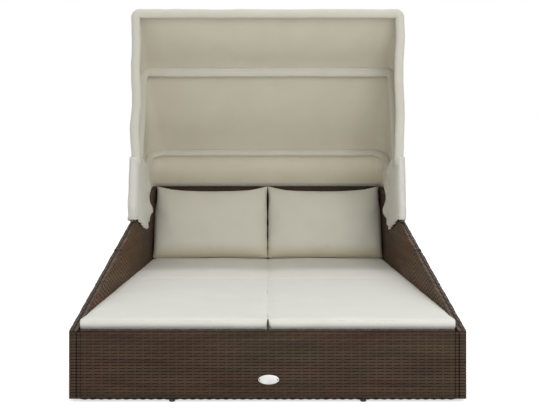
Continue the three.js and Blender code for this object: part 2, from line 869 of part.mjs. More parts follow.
function coverStations() {
  const side = coverRunShares.map((run, i) => {
    return { run, top: coverTopShares[i], hem: coverHemShares[i], wave: i % 2 };
  });
  const outside = side.map((place) => {
    return { ...place, hemX: coverOutsideX, topX: coverOutsideTopX, outX: 1, outY: 0 };
  });
  const inside = side.map((place) => {
    return { ...place, hemX: coverInsideX, topX: coverInsideX, outX: -1, outY: 0 };
  });
  const acrossFront = [coverCornerShare, 0.5, 1 - coverCornerShare].map((share) => {
    const turn = Math.PI * share;
    return {
      run: 0,
      top: 1,
      hem: 0,
      wave: 0,
      hemX: THREE.MathUtils.lerp(coverOutsideX, coverInsideX, share),
      topX: THREE.MathUtils.lerp(coverOutsideTopX, coverInsideX, share),
      outX: Math.cos(turn),
      outY: -Math.sin(turn),
    };
  });
  return [...outside, ...acrossFront, ...inside.reverse()];
}

// The boot closes round the hoops at its top, and swells forward and waves towards its hem
function coverPoint(place, height, thickness) {
  const swell = 1 - height;
  const top = coverHem + (coverTop - coverHem) * place.top;
  const hem = coverHem - coverHemDrop * place.hem;
  const frontY = THREE.MathUtils.lerp(coverTopFrontY, coverFrontY, swell * swell);
  const rearY = coverFrontY + coverLength;
  const out = coverWave * swell * place.wave + thickness;
  return new THREE.Vector3(
    THREE.MathUtils.lerp(place.hemX, place.topX, height) + place.outX * out,
    THREE.MathUtils.lerp(frontY, rearY, place.run) + place.outY * out,
    THREE.MathUtils.lerp(hem, top, height),
  );
}

function addCover(side, sign) {
  const places = coverStations();
  const grid = (thickness) => {
    return places.map((place) => {
      return coverHeightShares.map((height) => coverPoint(place, height, thickness));
    });
  };
  const cover = addMesh(`pivot_cover_${side}`, padBetween(grid(clothThickness), grid(0)), clothLook);
  cover.scale.x = sign;
}

// Seat cushions: crowned pads with drawn-in corners and a fold crease across the middle
const cushionRowShares = [-1, -0.988, -0.9, -0.6, -0.3, -0.02, 0, 0.02, 0.3, 0.6, 0.9, 0.988, 1];
const cushionColumnShares = [-1, -0.958, -0.7, -0.25, 0.25, 0.7, 0.958, 1];
const cushionCrownPower = 4;
const cushionCornerPower = 12;

const cushionHalfWidth = (insideX - cushionSideGap - cushionMiddleGap / 2) / 2;
const cushionHalfLength = (innerBack - innerFront) / 2 - cushionEndGap;
const cushionMiddleY = (innerFront + innerBack) / 2;
const cushionTop = deckTop + fitGap + cushionThickness;

function crownAt(u, v) {
  return cushionCrown * (1 - u * u) * (1 - v ** cushionCrownPower);
}

function cushionGeometry() {
  const point = (v, u, sign) => {
    const onEdge = Math.abs(u) === 1 || Math.abs(v) === 1;
    const draw = cushionCornerDraw * Math.abs(u * v) ** cushionCornerPower;
    const crown = sign > 0 ? crownAt(u, v) : 0;
    const crease = sign > 0 && v === 0 ? cushionCrease : 0;
    const edge = onEdge ? cushionEdgeRound : 0;
    return new THREE.Vector3(
      u * cushionHalfWidth - Math.sign(u) * draw,
      v * cushionHalfLength - Math.sign(v) * draw,
      sign * (cushionThickness / 2 - edge) + crown - crease,
    );
  };
  const grid = (sign) => {
    return cushionRowShares.map((v) => cushionColumnShares.map((u) => point(v, u, sign)));
  };
  return padBetween(grid(1), grid(-1));
}

function addCushion(side, sign) {
  const cushion = addMesh(`seat_cushion_${side}`, cushionGeometry(), cushionLook);
  const x = sign * (cushionMiddleGap / 2 + cushionHalfWidth);
  cushion.position.set(x, cushionMiddleY, cushionTop - cushionThickness / 2);
}

// Back pillows: knife-edged, with pointed corners and drawn-in sides, standing on the seat
// cushions and leaning on the back panel
const pillowSeatShare = 0.25;
const pillowShares = [-1, -0.9, -0.65, -0.35, 0, 0.35, 0.65, 0.9, 1];
const pillowEdgePower = 4;
const pillowFullnessPower = 0.6;
const pillowWidth = pocketInsideX - pillowSideGap - cushionMiddleGap;

function pillowGeometry() {
  const taper = (share) => (1 - share ** pillowEdgePower) ** pillowFullnessPower;
  const bulge = (pillowThickness - pillowSeam) / 2;
  const point = (v, u, sign) => {
    return new THREE.Vector3(
      u * (pillowWidth / 2 - pillowSideDraw * (1 - v * v)),
      v * (pillowHeight / 2 - pillowTopDraw * (1 - u * u) * Math.max(0, v)),
      sign * (pillowSeam / 2 + bulge * taper(u) * taper(v)),
    );
  };
  const grid = (sign) => {
    return pillowShares.map((v) => pillowShares.map((u) => point(v, u, sign)));
  };
  return padBetween(grid(1), grid(-1));
}

function addPillow(side, sign) {
  const geometry = pillowGeometry();
  geometry.rotateX(Math.PI / 2 - pillowLean);
  geometry.computeBoundingBox();
  const y = innerBack - fitGap - geometry.boundingBox.max.y;
  const footY = y - (pillowHeight / 2) * Math.sin(pillowLean);
  const crown = crownAt(pillowSeatShare, (footY - cushionMiddleY) / cushionHalfLength);
  const pillow = addMesh(`pillow_${side}`, geometry, cushionLook);
  const x = sign * (pillowWidth / 2 + cushionMiddleGap);
  pillow.position.set(x, y, cushionTop + crown + fitGap - geometry.boundingBox.min.z);
}

// The whole daybed
addCrossPanel("front", front + panelThickness / 2, frontPanelTop);
addCrossPanel("back", back - panelThickness / 2, backPanelTop);
onBothSides(addArm);
addDeck();
addBeam();
onBothSides(addLeg);
onBothSides(addPivot);
Object.keys(hoops).forEach(addHoop);
addHoodCloth();
onBothSides(addCover);
onBothSides(addCushion);
onBothSides(addPillow);

export default bed;
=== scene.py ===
"""Outdoor daybed with a folding canopy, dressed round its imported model.

Metres, +X to the right, +Y to the back, +Z up, origin on the floor under the middle.
"""

import math
from contextlib import contextmanager

import bpy
from mathutils import Matrix, Vector, noise


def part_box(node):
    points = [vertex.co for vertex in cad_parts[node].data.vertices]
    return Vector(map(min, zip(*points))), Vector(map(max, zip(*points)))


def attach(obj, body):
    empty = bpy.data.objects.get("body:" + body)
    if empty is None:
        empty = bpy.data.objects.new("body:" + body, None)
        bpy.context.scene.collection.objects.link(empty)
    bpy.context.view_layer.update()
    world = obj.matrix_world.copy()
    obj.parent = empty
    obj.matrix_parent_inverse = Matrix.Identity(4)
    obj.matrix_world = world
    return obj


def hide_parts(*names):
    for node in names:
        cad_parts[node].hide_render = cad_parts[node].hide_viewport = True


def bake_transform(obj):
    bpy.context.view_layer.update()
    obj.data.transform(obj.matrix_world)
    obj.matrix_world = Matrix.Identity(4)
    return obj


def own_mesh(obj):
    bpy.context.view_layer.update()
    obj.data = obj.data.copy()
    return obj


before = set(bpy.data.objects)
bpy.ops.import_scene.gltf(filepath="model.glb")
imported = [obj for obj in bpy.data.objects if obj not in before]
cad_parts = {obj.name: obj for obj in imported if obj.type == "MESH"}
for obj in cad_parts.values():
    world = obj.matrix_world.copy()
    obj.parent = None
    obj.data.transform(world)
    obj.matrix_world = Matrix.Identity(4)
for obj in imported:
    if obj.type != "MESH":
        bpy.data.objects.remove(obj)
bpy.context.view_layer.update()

# Camera: level, in front of the foot end at the height of a standing viewer's chest. Its frame
# is shifted down, so that upright edges stay upright.
camera_place = (0, -3.745, 0.72)
camera_lens = 60.87
camera_sensor = 36
frame_width_pixels = 537
eye_left_of_centre_pixels = 0.8
eye_above_centre_pixels = 41

bpy.ops.object.camera_add(location=camera_place, rotation=(math.radians(90), 0, 0))
camera = bpy.context.object
camera.name = "camera"
camera.data.lens = camera_lens
camera.data.sensor_width = camera_sensor
camera.data.shift_x = eye_left_of_centre_pixels / frame_width_pixels
camera.data.shift_y = -eye_above_centre_pixels / frame_width_pixels
bpy.context.scene.camera = camera
bpy.context.scene.view_settings.view_transform = "Standard"


# Studio: a pale floor that runs out to a white surround, soft light from all round, one lamp
# straight above, a broad one from the right in front and one from the back.
floor_size = 60
floor_colour = (0.86, 0.86, 0.86, 1)
floor_glow = 0.64
surround_strength = 0.52


def feed(node, inputs):
    """Sets a node's inputs, each to a value or to what another node puts out."""
    for key, value in inputs.items():
        if isinstance(value, bpy.types.NodeSocket):
            node.id_data.links.new(value, node.inputs[key])
        else:
            node.inputs[key].default_value = value


def shader(tree, kind, inputs, **settings):
    """Adds a node with these settings and inputs, and gives what it puts out."""
    node = tree.nodes.new("ShaderNode" + kind)
    for name, value in settings.items():
        setattr(node, name, value)
    feed(node, inputs)
    return node.outputs


def computed(tree, operation, *values):
    return shader(tree, "Math", dict(enumerate(values)), operation=operation)[0]


def graded(tree, value, results, limits=(0, 1), **settings):
    """The first result below the limits, the second above them, and an even change between."""
    inputs = {"Value": value, "From Min": limits[0], "From Max": limits[1],
              "To Min": results[0], "To Max": results[1]}
    return shader(tree, "MapRange", inputs, **settings)["Result"]


def new_material(name):
    material = bpy.data.materials.new(name)
    material.use_nodes = True
    return material, material.node_tree, material.node_tree.nodes["Principled BSDF"]


def seen_directly(tree):
    """1 for rays from the eye, and for those that glossy or clear surfaces send on."""
    path = shader(tree, "LightPath", {})
    either = computed(tree, "MAXIMUM", path["Is Camera Ray"], path["Is Glossy Ray"])
    return computed(tree, "MAXIMUM", either, path["Is Transmission Ray"])


def light_surround():
    world = bpy.data.worlds.new("studio_surround")
    world.use_nodes = True
    bpy.context.scene.world = world
    tree = world.node_tree
    strength = graded(tree, seen_directly(tree), (surround_strength, 1))
    feed(tree.nodes["Background"], {"Color": (1, 1, 1, 1), "Strength": strength})


def lay_floor():
    bpy.ops.mesh.primitive_plane_add(size=floor_size, location=(0, 0, 0))
    floor = bpy.context.object
    floor.name = "studio_floor"
    material, tree, paint = new_material("pale_floor")
    feed(paint, {"Base Color": floor_colour, "Roughness": 0.9, "Specular IOR Level": 0,
                 "Emission Color": (1, 1, 1, 1),
                 "Emission Strength": computed(tree, "MULTIPLY", seen_directly(tree), floor_glow)})
    floor.data.materials.append(material)


def hang_lamp(name, place, size, power, aim):
    turn = (Vector(aim) - Vector(place)).to_track_quat("-Z", "Y").to_euler()
    bpy.ops.object.light_add(type="AREA", location=place, rotation=turn)
    lamp = bpy.context.object
    lamp.name = name
    lamp.data.shape = "RECTANGLE"
    lamp.data.size, lamp.data.size_y = size
    lamp.data.energy = power


light_surround()
lay_floor()
hang_lamp("key_lamp", (1.1, -4.4, 1.9), (2.4, 2.4), 86, (0, 0.2, 0.6))
hang_lamp("top_lamp", (0.1, 0.1, 4.4), (3.4, 0.5), 42, (0.1, 0, 0))
hang_lamp("back_lamp", (0.3, 4.6, 1.5), (3.0, 3.0), 42, (0, 0.9, 0.8))


# Woven panels: flat strands of brown plastic, woven level in brick fashion over upright strands,
# round the welded frames. Each face of a panel is one patch of weave on the panel's skin.
row_pitch = 0.0092
upright_pitch = 0.0252
strand_width = 0.0084
wrap_width = 0.0075
strand_thickness = 0.0013
upright_width = 0.0056
upright_thickness = 0.0012
weave_height = 0.0011
weave_swing = 0.0010
weave_steps = 8
strand_sides = 6
wrap_standoff = 0.0002
wrap_leg = 0.02
wrap_turn = 0.003
binding_width = 0.0080
binding_inset = 0.0053
groove_width = 0.0025
pressed_flat = 0.4
# Edge strands: their width, thickness, swelling and, where they have one, unevenness.
panel_lip_strand = (0.0052, 0.0040, 1.3)
hem_strand = (0.0034, 0.0038, 2.1)
hem_rise_over_foot = 0.0014
panel_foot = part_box("front_panel_weave")[0][2]
panel_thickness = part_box("back_panel_weave")[1][1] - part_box("back_panel_weave")[0][1]
weld_gap = 0.00005
swing_sharpness = 2.2
swing_peak = 0.976
quarter_turn = math.pi / 2
strand_browns = ((0.028, 0.0155, 0.0088), (0.083, 0.0500, 0.0302))
strand_casts = ((1, 0.90, 0.86), (0.88, 0.97, 0.80))


def pick(*pieces):
    bpy.ops.object.select_all(action="DESELECT")
    for piece in pieces:
        piece.select_set(True)
    bpy.context.view_layer.objects.active = pieces[0]


def named(name):
    """Names the object at hand and its mesh."""
    piece = bpy.context.object
    piece.name = piece.data.name = name
    return piece


def modified(piece, kind, **settings):
    """Puts a modifier with these settings on a piece, and applies it."""
    pick(piece)
    modifier = piece.modifiers.new(kind, kind)
    for name, value in settings.items():
        setattr(modifier, name, value)
    bpy.ops.object.modifier_apply(modifier=modifier.name)


@contextmanager
def editing(piece, everything=True):
    """Edit mode for the lines under it, with everything selected or the selection as it is."""
    pick(piece)
    bpy.ops.object.mode_set(mode="EDIT")
    if everything:
        bpy.ops.mesh.select_all(action="SELECT")
    yield
    bpy.ops.object.mode_set(mode="OBJECT")


def joined(name, pieces):
    pick(*pieces)
    bpy.ops.object.join()
    return named(name)


def scaled(piece, scale, moved=True):
    piece.scale = scale
    bpy.ops.object.transform_apply(location=moved, rotation=True, scale=True)


def placed(piece, place, *turns):
    """Turns a piece about the axes given, the last one first, and moves it to its place."""
    matrix = Matrix.Translation(place)
    for angle, axis in turns:
        matrix = matrix @ Matrix.Rotation(angle, 4, axis)
    piece.matrix_world = matrix @ piece.matrix_world
    pick(piece)
    bpy.ops.object.transform_apply(location=True, rotation=True, scale=True)
    return piece


def mirrored(piece, name):
    """A copy on the other side of the middle, with its own mesh."""
    pick(piece)
    bpy.ops.object.duplicate()
    copy = named(name)
    scaled(copy, (-1, 1, 1))
    with editing(copy):
        bpy.ops.mesh.flip_normals()
    return copy


def repeated(piece, count, step, weld=False):
    modified(piece, "ARRAY", use_relative_offset=False, use_constant_offset=True, count=count,
             constant_offset_displace=step, use_merge_vertices=weld, merge_threshold=weld_gap)


def trim(piece, point, normal):
    """Cuts away what lies on the normal's side of the plane, and closes the cut strands."""
    with editing(piece):
        bpy.ops.mesh.bisect(plane_co=point, plane_no=normal, use_fill=True, clear_outer=True)


def strand_end(place, turn, width, thin, moved=False):
    """The six-sided face from which a strand is drawn out."""
    bpy.ops.mesh.primitive_circle_add(vertices=strand_sides, radius=0.5, fill_type="NGON",
                                      location=place, rotation=turn)
    end = bpy.context.object
    scaled(end, (width, thin, 1), moved)
    return end


def strand_along(start, steps, width, thin, turn):
    strand = strand_end(start, turn, width, thin / math.cos(math.radians(30)))
    with editing(strand, everything=False):
        for step in steps:
            bpy.ops.mesh.extrude_region_move(TRANSFORM_OT_translate={"value": step})
    return strand


def swing_at(share):
    """How far out a level strand lies on its way over one upright strand and under the next."""
    swing = math.tanh(swing_sharpness * math.sin(2 * math.pi * share))
    return weave_height + weave_swing * swing / swing_peak


def level_strand(height, phase):
    run = 2 * upright_pitch / weave_steps
    outs = [-swing_at(phase + i / weave_steps) for i in range(weave_steps + 1)]
    steps = [(run, b - a, 0) for a, b in zip(outs, outs[1:])]
    return strand_along((0, outs[0], height), steps, strand_width, strand_thickness,
                        (0, quarter_turn, 0))


def upright_strand(x, rise):
    return strand_along((x, -weave_height, 0), [(0, 0, rise)], upright_width, upright_thickness,
                        (0, 0, 0))


def weave_patch(length, height, rows, row=row_pitch):
    """A patch of weave along X and up Z that lies on the plane y = 0 and faces -Y."""
    cell = [level_strand((i + 0.5) * row, i / 2) for i in range(2)]
    cell += [upright_strand((i + 0.5) * upright_pitch, 2 * row) for i in range(2)]
    patch = joined("patch", cell)
    with editing(patch):
        bpy.ops.mesh.select_all(action="DESELECT")
    for face in patch.data.polygons:
        face.select = len(face.vertices) == strand_sides
    with editing(patch, everything=False):
        bpy.ops.mesh.delete(type="ONLY_FACE")
    bpy.ops.object.origin_set(type="ORIGIN_CURSOR")
    repeated(patch, math.ceil(length / (2 * upright_pitch)), (2 * upright_pitch, 0, 0), weld=True)
    repeated(patch, math.ceil(rows / 2), (0, 0, 2 * row), weld=True)
    trim(patch, (length, 0, 0), (1, 0, 0))
    trim(patch, (0, 0, height), (0, 0, 1))
    return patch


def ribbon_along(points):
    """A strip of strand, upright in its width, that follows points in X and Y."""
    bpy.ops.mesh.primitive_plane_add(size=1)
    strip = bpy.context.object
    for vertex in strip.data.vertices:
        vertex.select = vertex.co.x > 0
        vertex.co = (*points[1 if vertex.select else 0], vertex.co.y * wrap_width)
    for edge in strip.data.edges:
        edge.select = all(strip.data.vertices[v].select for v in edge.vertices)
    for face in strip.data.polygons:
        face.select = False
    with editing(strip, everything=False):
        bpy.ops.mesh.select_mode(type="EDGE")
        for (ax, ay), (bx, by) in zip(points[1:], points[2:]):
            bpy.ops.mesh.extrude_edges_move(TRANSFORM_OT_translate={"value": (bx - ax, by - ay, 0)})
        bpy.ops.mesh.select_mode(type="VERT")
    modified(strip, "SOLIDIFY", thickness=strand_thickness, offset=1)
    modified(strip, "BEVEL", width=strand_thickness / 3, segments=1)
    return strip


def stacked(wrap, height):
    """One wrap for each row of the weave."""
    repeated(wrap, math.floor(height / row_pitch), (0, 0, row_pitch))
    return placed(wrap, (0, 0, row_pitch / 2))


def end_wraps(height, thickness, outer_leg, inner_leg):
    """Strands that turn round an upright end: X across the panel, -Y out of its end, up Z."""
    side = thickness / 2 + wrap_standoff
    turn = wrap_turn
    points = [(-side, outer_leg), (-side, turn), (-side + turn / 3, turn / 3), (-side + turn, 0),
              (side - turn, 0), (side - turn / 3, turn / 3), (side, turn)]
    if inner_leg:
        points.append((side, inner_leg))
    return stacked(ribbon_along([(x, y - wrap_standoff) for x, y in points]), height)


def ruffle(point, depth, size, seed):
    """Smooth unevenness to both sides, as deep as given, that changes over the given size."""
    shift = Vector((seed * 7.3, seed * 3.1, seed * 1.7))
    return depth * (2 * noise.noise(Vector(point) / size + shift))


def edge_strand(start, end, width, thin, swell, uneven=0):
    """A rope-like strand along an edge, which swells between the strands that bind it."""
    start, end = Vector(start), Vector(end)
    run = end - start
    count = max(2, round(run.length / (upright_pitch / 2)))
    sizes = [(swell if i % 2 else 1) * (1 + ruffle(start + run * i / count, uneven, 0.05, 2))
             for i in range(count + 1)]
    strand = strand_end(start, run.to_track_quat("Z", "Y").to_euler(), width * sizes[0],
                        thin * sizes[0], moved=True)
    with editing(strand, everything=False):
        for i in range(count):
            bpy.ops.mesh.extrude_region_move(TRANSFORM_OT_translate={"value": run / count})
            size = sizes[i + 1] / sizes[i]
            bpy.ops.transform.resize(value=(size, size, size),
                                     center_override=start + run * (i + 1) / count)
    return strand


def mixed(tree, share, first, second, way="MIX"):
    return shader(tree, "Mix", {"Factor": share, "A": first, "B": second}, data_type="RGBA",
                  blend_type=way)["Result"]


def toned(tree, value, tones, places):
    """The first tone below the places, the second above them, and an even change between."""
    ramp = tree.nodes.new("ShaderNodeValToRGB")
    feed(ramp, {"Fac": value})
    for stop, tone, at in zip(ramp.color_ramp.elements, tones, places):
        stop.color = (*tone, 1)
        stop.position = at
    return ramp.outputs["Color"]


def clouds(tree, place, scale, detail, narrowing=None, shift=(0, 0, 0)):
    """Cloudy patches, each narrowed along the axes."""
    if narrowing:
        place = shader(tree, "Mapping", {"Vector": place, "Scale": narrowing,
                                         "Location": shift})["Vector"]
    return shader(tree, "TexNoise", {"Vector": place, "Scale": scale, "Detail": detail})["Fac"]


def relief(tree, height, strength, depth):
    return shader(tree, "Bump", {"Height": height, "Strength": strength,
                                 "Distance": depth})["Normal"]


def strand_finish(name, light, row_share=0.16, crest=None):
    """Brown strands, redder here and greener there, with fine lines drawn along them. row_share
    is how much a row differs from its neighbours. crest is how far from the middle a face's
    highest strands lie: those strands are lighter and those that pass below them darker, a
    painted highlight and painted shade."""
    material, tree, paint = new_material(name)
    place = shader(tree, "TexCoord", {})["Object"]
    parts = shader(tree, "SeparateXYZ", {"Vector": place})
    row = computed(tree, "MULTIPLY_ADD", parts["Z"], 1 / row_pitch, -panel_foot / row_pitch)
    row_tone = shader(tree, "TexWhiteNoise", {"W": computed(tree, "FLOOR", row)},
                      noise_dimensions="1D")["Value"]
    patches = computed(tree, "MULTIPLY", clouds(tree, place, 5, 3, (1, 1, 9)), 1 - row_share)
    tone = computed(tree, "MULTIPLY_ADD", row_tone, row_share, patches)
    browns = [[part * share for part, share in zip(brown, light)] for brown in strand_browns]
    batch = clouds(tree, place, 3.5, 2, (1, 1, 4), (5, 3, 1))
    colour = mixed(tree, 1, toned(tree, tone, browns, (0.2, 0.8)),
                   toned(tree, batch, strand_casts, (0.4, 0.62)), "MULTIPLY")
    if crest:
        colour = shaded_below(tree, colour, parts, crest)
    lines = clouds(tree, place, 40, 4, (0.5, 0.5, 40))
    feed(paint, {"Base Color": colour, "Specular IOR Level": 0.2 * min(1, light[0]),
                 "Roughness": graded(tree, lines, (0.40, 0.55)),
                 "Normal": relief(tree, lines, 0.35, 0.0004)})
    return material


crest_shades = (1.4, 0.25)
crest_fade = (0.0003, 0.0018)
back_shades = (1.1, 0.5)
back_shade_end = 0.75


def shaded_below(tree, colour, place, crest):
    """Painted highlight and shade: lighter on a face's highest strands, darker below them, and
    darker towards the back, where the pillows keep the sun off it."""
    distance = computed(tree, "ABSOLUTE", place["X"])
    shade = graded(tree, distance, crest_shades, [crest + past for past in crest_fade])
    faded = graded(tree, place["Y"], back_shades, (0, back_shade_end))
    return mixed(tree, 1, colour, computed(tree, "MULTIPLY", shade, faded), "MULTIPLY")


woven_strand = strand_finish("woven_strand", (0.90, 0.89, 0.89))
# A darker copy of the strand: painted shade for the hems and the front panel's top strip.
shade_painted_strand = strand_finish("shade_painted_strand", (0.3, 0.3, 0.3))


def woven_together(name, pieces, in_painted_shade):
    """Joins the strands of a panel. Those in the shade of its edges get the darker strand, a
    painted shade.
    """
    for piece in pieces:
        if not piece.data.materials:
            piece.data.materials.append(shade_painted_strand if piece in in_painted_shade else woven_strand)
    return joined(name, pieces)


def dress_weave(piece):
    """Closes the ends of the strands, and lets the panel go with the bed."""
    with editing(piece):
        bpy.ops.mesh.fill_holes(sides=strand_sides)
        bpy.ops.mesh.normals_make_consistent(inside=False)
    bpy.ops.object.shade_smooth_by_angle(angle=math.radians(50))
    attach(piece, "bed")


def end_binding(x, y, foot, height):
    """A narrow upright band of short level strands that finishes a panel's end."""
    half = binding_width / 2
    turn = half / 4
    points = [(-half, 2 * turn), (-half + turn / 2, turn / 2), (-half + 2 * turn, 0),
              (half - 2 * turn, 0), (half - turn / 2, turn / 2), (half, 2 * turn)]
    return placed(stacked(ribbon_along(points), height), (x, y - weave_height, foot))


def weave_cross_panel(name, low, high, faces, bound=False):
    """The weave of the front or back panel. faces says of each face whether it is turned to the
    back, and where its lower edge is. A bound panel has a band at each end, and lies under the
    cushions' front edge."""
    pieces = []
    if bound:
        for x in (low[0] + binding_inset, high[0] - binding_inset):
            pieces.append(end_binding(x, low[1], panel_foot, high[2] - panel_foot))
        inset = binding_inset + binding_width / 2 + groove_width
        low, high = (low[0] + inset, *low[1:]), (high[0] - inset, *high[1:])
    length, thickness = high[0] - low[0], high[1] - low[1]
    for turned, foot in faces:
        patch = weave_patch(length, high[2] - foot, round((high[2] - foot) / row_pitch))
        corner = high if turned else low
        pieces.append(placed(patch, (corner[0], corner[1], foot), (math.pi if turned else 0, "Z")))
    top = weave_patch(length, thickness, 2, thickness / 2)
    if bound:
        scaled(top, (1, pressed_flat, 1))
    placed(top, (low[0], low[1], high[2]), (-quarter_turn, "X"))
    lip = weave_height / 2
    lip_places = [(low[1] - lip, high[2] - lip)] if bound else [
        (low[1] - lip, high[2] + lip), (high[1] + lip, high[2] + lip)]
    for y, z in lip_places:
        pieces.append(edge_strand((low[0], y, z), (high[0], y, z), *panel_lip_strand))
    y, z = low[1] - lip, low[2] + hem_rise_over_foot
    hem = edge_strand((low[0], y, z), (high[0], y, z), *hem_strand)
    # The hem and, on a bound panel, the pressed top strip get the darker strand as painted shade.
    dress_weave(woven_together(name, [*pieces, top, hem], [hem, top] if bound else [hem]))


weave_cross_panel("front_panel_strands", *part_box("front_panel_weave"), [(False, panel_foot)],
                  bound=True)
cushion_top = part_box("seat_cushion_left")[1][2]
hidden_below_top = 0.02
hidden_rows = math.floor((cushion_top - hidden_below_top - panel_foot) / row_pitch)
inside_foot = panel_foot + hidden_rows * row_pitch
weave_cross_panel("back_panel_strands", *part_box("back_panel_weave"),
                  [(False, inside_foot), (True, panel_foot)])


# Arms: the same weave over the sloping arm frames, each made in a front and a rear section. The
# left arm is woven first, and the right arm is its mirror image.
arm_front_top = 0.213
joint_wrap_rise = 0.0038
lip_inset = 0.0010
joint_wrap_leg = 0.03
front_wrap_gap = 0.0005
lip_strand = (0.0046, 0.0040, 1.25, 0.42)
bracket_clearance = 0.004
arm_front_low, arm_front_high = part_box("side_front_weave_left")
arm_rear_low, arm_rear_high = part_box("side_rear_weave_left")
arm_middle_x = (arm_front_low[0] + arm_front_high[0]) / 2
arm_slope = (arm_front_high[2] - arm_front_top) / (arm_front_high[1] - arm_front_low[1])
shoulder_y = arm_front_low[1] + (arm_rear_high[2] - arm_front_top) / arm_slope
strand_crest = abs(arm_front_high[0]) - weave_height - weave_swing - strand_thickness / 2
# The arms' inner faces: a lighter copy of the strand, a painted light, with painted shade below the
# crests and towards the back.
inner_strand_lit_shaded = strand_finish("inner_strand_lit_shaded", (2.10, 1.72, 1.30), crest=strand_crest)
# The lips along the arm tops: a lighter, greyer copy of the strand with strong row spots, a painted
# highlight.
lip_highlight_strand = strand_finish("lip_strand", (1.9, 1.9, 1.95), row_share=0.8)
slope_angle = math.atan(arm_slope)
slope_normal = (0, -math.sin(slope_angle), math.cos(slope_angle))


def arm_top(y):
    return min(arm_rear_high[2], arm_front_top + arm_slope * (y - arm_front_low[1]))


def weave_arm_faces(low, high, outer_front):
    """The outer face, from the floor up, and the inner face, from just below the cushion's top."""
    pieces = []
    for x, y, length, foot, turn, strand in (
            (low[0], high[1], high[1] - outer_front, panel_foot, -quarter_turn, woven_strand),
            (high[0], low[1], high[1] - low[1], inside_foot, quarter_turn, inner_strand_lit_shaded)):
        height = high[2] - foot
        patch = weave_patch(length, height, math.ceil(height / row_pitch))
        placed(patch, (x, y, foot), (turn, "Z"))
        trim(patch, (0, arm_front_low[1], arm_front_top), slope_normal)
        patch.data.materials.append(strand)
        pieces.append(patch)
    return pieces


def weave_arm_top(low, high):
    """The top of one section: two rows along the slope, and level behind the shoulder. The
    bracket's plate sits on the bare skin."""
    stretches = [(low[1], min(high[1], shoulder_y), slope_angle)]
    if high[1] > shoulder_y:
        plate_start, plate_end = (corner[1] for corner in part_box("pivot_bracket_left"))
        stretches = [(low[1], plate_start - bracket_clearance, slope_angle),
                     (plate_end + bracket_clearance, shoulder_y, slope_angle),
                     (shoulder_y, high[1], 0)]
    pieces = []
    width = high[0] - low[0]
    for y0, y1, slope in stretches:
        length = (y1 - y0) / math.cos(slope)
        patch = weave_patch(length, width, 2, width / 2)
        pieces.append(placed(patch, (high[0], y0, arm_top(y0)), (slope, "X"), (quarter_turn, "Z"),
                             (-quarter_turn, "X")))
        for x in (low[0] + lip_inset, high[0] - lip_inset):
            ends = [(x, y, arm_top(y) + weave_height / 2) for y in (y0, y1)]
            lip = edge_strand(*ends, *lip_strand)
            lip.data.materials.append(lip_highlight_strand)
            pieces.append(lip)
    return pieces


def joint_wraps():
    """The strands that finish the two sections where they meet stand a little higher."""
    y = arm_front_high[1]
    wraps = end_wraps(2 * row_pitch, panel_thickness + 2 * weave_height, joint_wrap_leg,
                      joint_wrap_leg)
    placed(wraps, (0, 0, -row_pitch))
    return placed(wraps, (arm_middle_x, y, arm_top(y) + joint_wrap_rise), (slope_angle, "X"),
                  (-quarter_turn, "X"))


def weave_left_arm():
    pieces, hems = [], []
    for low, high in ((arm_front_low, arm_front_high), (arm_rear_low, arm_rear_high)):
        outer_front = low[1] + (wrap_leg + front_wrap_gap if low == arm_front_low else 0)
        pieces += weave_arm_faces(low, high, outer_front)
        pieces += weave_arm_top(low, high)
        x, z = low[0] - weave_height / 2, low[2] + hem_rise_over_foot
        hems.append(edge_strand((x, outer_front, z), (x, high[1], z), *hem_strand))
    front_end = end_wraps(arm_front_top - panel_foot, panel_thickness - groove_width, wrap_leg, 0)
    back_end = end_wraps(arm_rear_high[2] - panel_foot, panel_thickness, 0, wrap_leg)
    pieces += [
        placed(front_end, (arm_middle_x - groove_width / 2, arm_front_low[1], panel_foot)),
        placed(back_end, (arm_middle_x, arm_rear_high[1], panel_foot), (math.pi, "Z")),
        joint_wraps(),
    ]
    # The arm hems get the darker strand as painted shade.
    return woven_together("left_arm_strands", pieces + hems, hems)


left_arm_strands = weave_left_arm()
right_arm_strands = mirrored(left_arm_strands, "right_arm_strands")
dress_weave(left_arm_strands)
dress_weave(right_arm_strands)


# Frames, deck, centre beam, legs and hoops: welded steel tube with a dark, slightly grained
# powder coat. They come from the frame as they are, and get their finish here.
steel_tones = ((0.018, 0.016, 0.015), (0.036, 0.032, 0.030))
backing_shade_tones = ((0.006, 0.005, 0.004), (0.016, 0.012, 0.009))
foot_tones = ((0.010, 0.010, 0.010), (0.022, 0.021, 0.020))
zinc_tones = ((0.36, 0.36, 0.35), (0.56, 0.56, 0.54))


def mottled_finish(name, tones, grain, roughness, depth, metallic=0, shine=0.5):
    """Two close tones in cloudy patches, with a fine grain in the surface."""
    material, tree, paint = new_material(name)
    place = shader(tree, "TexCoord", {})["Object"]
    fine = clouds(tree, place, grain, 3)
    feed(paint, {"Metallic": metallic, "Specular IOR Level": shine,
                 "Base Color": toned(tree, clouds(tree, place, grain / 12, 5), tones, (0.35, 0.65)),
                 "Roughness": graded(tree, fine, roughness),
                 "Normal": relief(tree, fine, 0.5, depth)})
    return material


def finish_nodes(words, material):
    """Gives the frame's own pieces whose names hold one of the words this finish."""
    for name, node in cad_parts.items():
        if any(word in name for word in words):
            for slot in node.material_slots:
                slot.material = material


finish_nodes(("frame", "deck", "beam", "centre_leg", "hoop"),
             mottled_finish("powder_coat", steel_tones, 900, (0.42, 0.6), 0.0001))
# The weave nodes' skins are near black and barely glossy: a painted shade for the depth behind the
# strands.
finish_nodes(("weave",), mottled_finish("shaded_strand_backs", backing_shade_tones, 500, (0.7, 0.9),
                                        0.0002, shine=0.04))
finish_nodes(("foot",), mottled_finish("foot_plastic", foot_tones, 1400, (0.5, 0.7), 0.00005))
finish_nodes(("bracket", "bolt", "nut", "washer"),
             mottled_finish("zinc_plate", zinc_tones, 700, (0.28, 0.45), 0.00004, 1))


